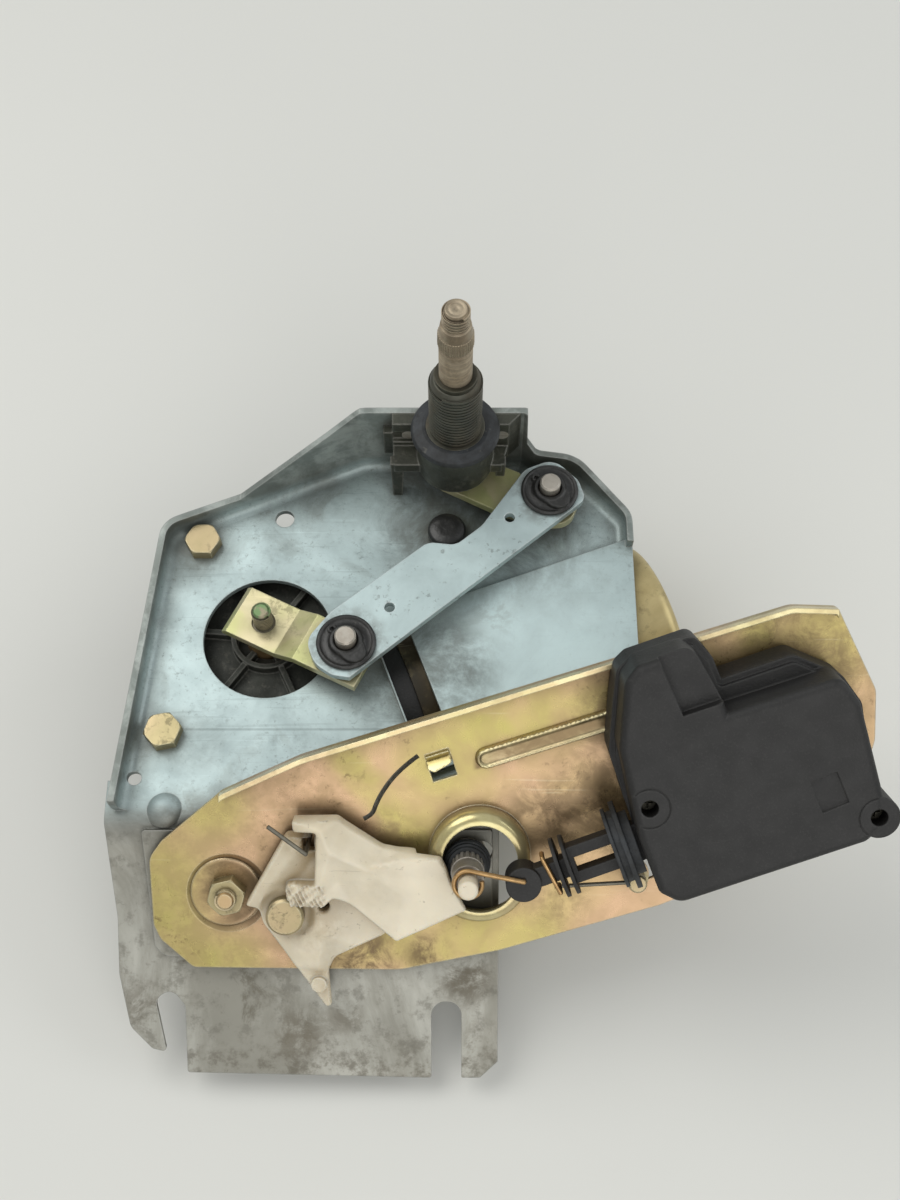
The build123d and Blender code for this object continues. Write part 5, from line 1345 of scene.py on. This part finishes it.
class WIPER_OT_pen_mark(bpy.types.Operator):
    """Draw the fitter's pen stroke on the lock bracket"""

    bl_idname = "wiper.pen_mark"
    bl_label = "Pen stroke"

    HEIGHT = 4.03                      # just over the bracket's face, mm
    STROKE = [
        (-10.7, 20.7), (-16.3, 16.5), (-20.9, 10.5), (-23.4, 5.2), (-23.8, 3.0), (-26.5, 1.8),
    ]

    def execute(self, context):
        ink = FINISHES["pen_mark"]
        line = smooth_line("pen_line", [(x, y, self.HEIGHT) for x, y in self.STROKE])
        mesh = stroke_tree().mesh(
            WING, Line=line, Width=1.3 * MM, Height=0.05 * MM, Material=ink,
        )
        bpy.data.objects.remove(line)
        add_object("pen_stroke", mesh, "mount", ink)
        return {"FINISHED"}


class WIPER_OT_stage(bpy.types.Operator):
    """Lay the floor, light it and set the camera"""

    bl_idname = "wiper.stage"
    bl_label = "Stage"

    HALF = 30.0                        # half of the floor's side, m
    SKY, SKY_STRENGTH = (0.80, 0.82, 0.83, 1), 0.60
    LIGHTS = (                         # name, place and size in m, power in W, tint
        ("key", (-0.55, 0.28, 0.95), 0.9, 6.0, (1.0, 0.99, 0.96)),
        ("front", (0.20, -1.00, 0.70), 1.1, 5.0, (1.0, 0.98, 0.95)),
        ("side", (0.90, 0.10, 0.60), 0.8, 2.6, (0.95, 0.98, 1.0)),
    )
    AIM = Vector((0, -0.08, -0.03))
    LENS, SENSOR = 45.0, 36.0          # mm
    TARGET = Vector((-1.6, -41.8, DROP)) * MM
    TILT = math.radians(25.8)          # of the view, off the vertical
    DISTANCE = 0.4675                  # camera to target, m

    def lay_floor(self, scene):
        low = CAD_BOX[0][2]
        mesh = bpy.data.meshes.new("floor")
        s = self.HALF
        square = [(-s, -s, low), (s, -s, low), (s, s, low), (-s, s, low)]
        mesh.from_pydata(square, [], [(0, 1, 2, 3)])
        floor = bpy.data.objects.new("floor", mesh)
        scene.collection.objects.link(floor)
        f = Finish("floor_paint", 0.0, 0.75)
        paint = settings()[0].floor
        f.ground(f.spots(0.3, 0.7, 3.0, 2), shade(paint, 0.985), shade(paint, 1.01))
        mesh.materials.append(f.done())
        floor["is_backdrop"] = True

    def light(self, scene):
        scene.world = bpy.data.worlds.new("studio")
        scene.world.use_nodes = True
        back = scene.world.node_tree.nodes["Background"]
        back.inputs["Color"].default_value = self.SKY
        back.inputs["Strength"].default_value = self.SKY_STRENGTH
        for name, place, size, power, tint in self.LIGHTS:
            light = bpy.data.lights.new(name, "AREA")
            light.shape = "DISK"
            light.size = size
            light.energy = power
            light.color = tint
            lamp = bpy.data.objects.new(name, light)
            lamp.location = place
            aim = self.AIM - Vector(place)
            lamp.rotation_euler = aim.to_track_quat("-Z", "Y").to_euler()
            scene.collection.objects.link(lamp)

    def set_camera(self, scene):
        lens = bpy.data.cameras.new("camera")
        lens.lens = self.LENS
        lens.sensor_fit = "AUTO"
        lens.sensor_width = self.SENSOR
        lens.clip_start = 0.01
        camera = bpy.data.objects.new("camera", lens)
        away = Vector((0, -math.sin(self.TILT), math.cos(self.TILT)))
        camera.location = self.TARGET + self.DISTANCE * away
        camera.rotation_euler = Euler((self.TILT, 0, 0))
        scene.collection.objects.link(camera)
        scene.camera = camera

    def execute(self, context):
        scene = context.scene
        self.lay_floor(scene)
        self.light(scene)
        self.set_camera(scene)
        scene.view_settings.view_transform = "Standard"
        return {"FINISHED"}


class WIPER_PT_panel(bpy.types.Panel):
    """Lists the pieces and the sizes and colours behind them"""

    bl_idname = "WIPER_PT_panel"
    bl_label = "Wiper Motor"
    bl_space_type = "VIEW_3D"
    bl_region_type = "UI"
    bl_category = "Wiper Motor"

    def draw(self, context):
        layout = self.layout
        for group in settings():
            for name in group.__annotations__:
                layout.prop(group, name)
        for operator in OPERATORS:
            layout.operator(operator.bl_idname)


OPERATORS = (
    WIPER_OT_finishes, WIPER_OT_sleeve, WIPER_OT_spindle, WIPER_OT_studs,
    WIPER_OT_release_lever, WIPER_OT_clips, WIPER_OT_bracket_fittings, WIPER_OT_rubbers,
    WIPER_OT_pen_mark, WIPER_OT_stage,
)
CLASSES = (WiperFinishSettings, WiperThreadSettings, *OPERATORS, WIPER_PT_panel)


def register():
    for kind in CLASSES:
        bpy.utils.register_class(kind)
    bpy.types.Scene.wiper_finish = bpy.props.PointerProperty(type=WiperFinishSettings)
    bpy.types.Scene.wiper_thread = bpy.props.PointerProperty(type=WiperThreadSettings)


def unregister():
    del bpy.types.Scene.wiper_finish
    del bpy.types.Scene.wiper_thread
    for kind in reversed(CLASSES):
        bpy.utils.unregister_class(kind)


def corners(box):
    return [[float(c) for c in corner] for corner in box]


def main():
    register()
    bpy.ops.wiper.finishes()
    bpy.ops.wiper.sleeve()
    bpy.ops.wiper.spindle()
    bpy.ops.wiper.studs()
    bpy.ops.wiper.release_lever()
    bpy.ops.wiper.clips()
    bpy.ops.wiper.bracket_fittings()
    bpy.ops.wiper.rubbers()
    bpy.ops.wiper.pen_mark()
    bpy.ops.wiper.stage()
    {"cad": corners(CAD_BOX), "visual": corners(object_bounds())}


if __name__ == "__main__":
    main()
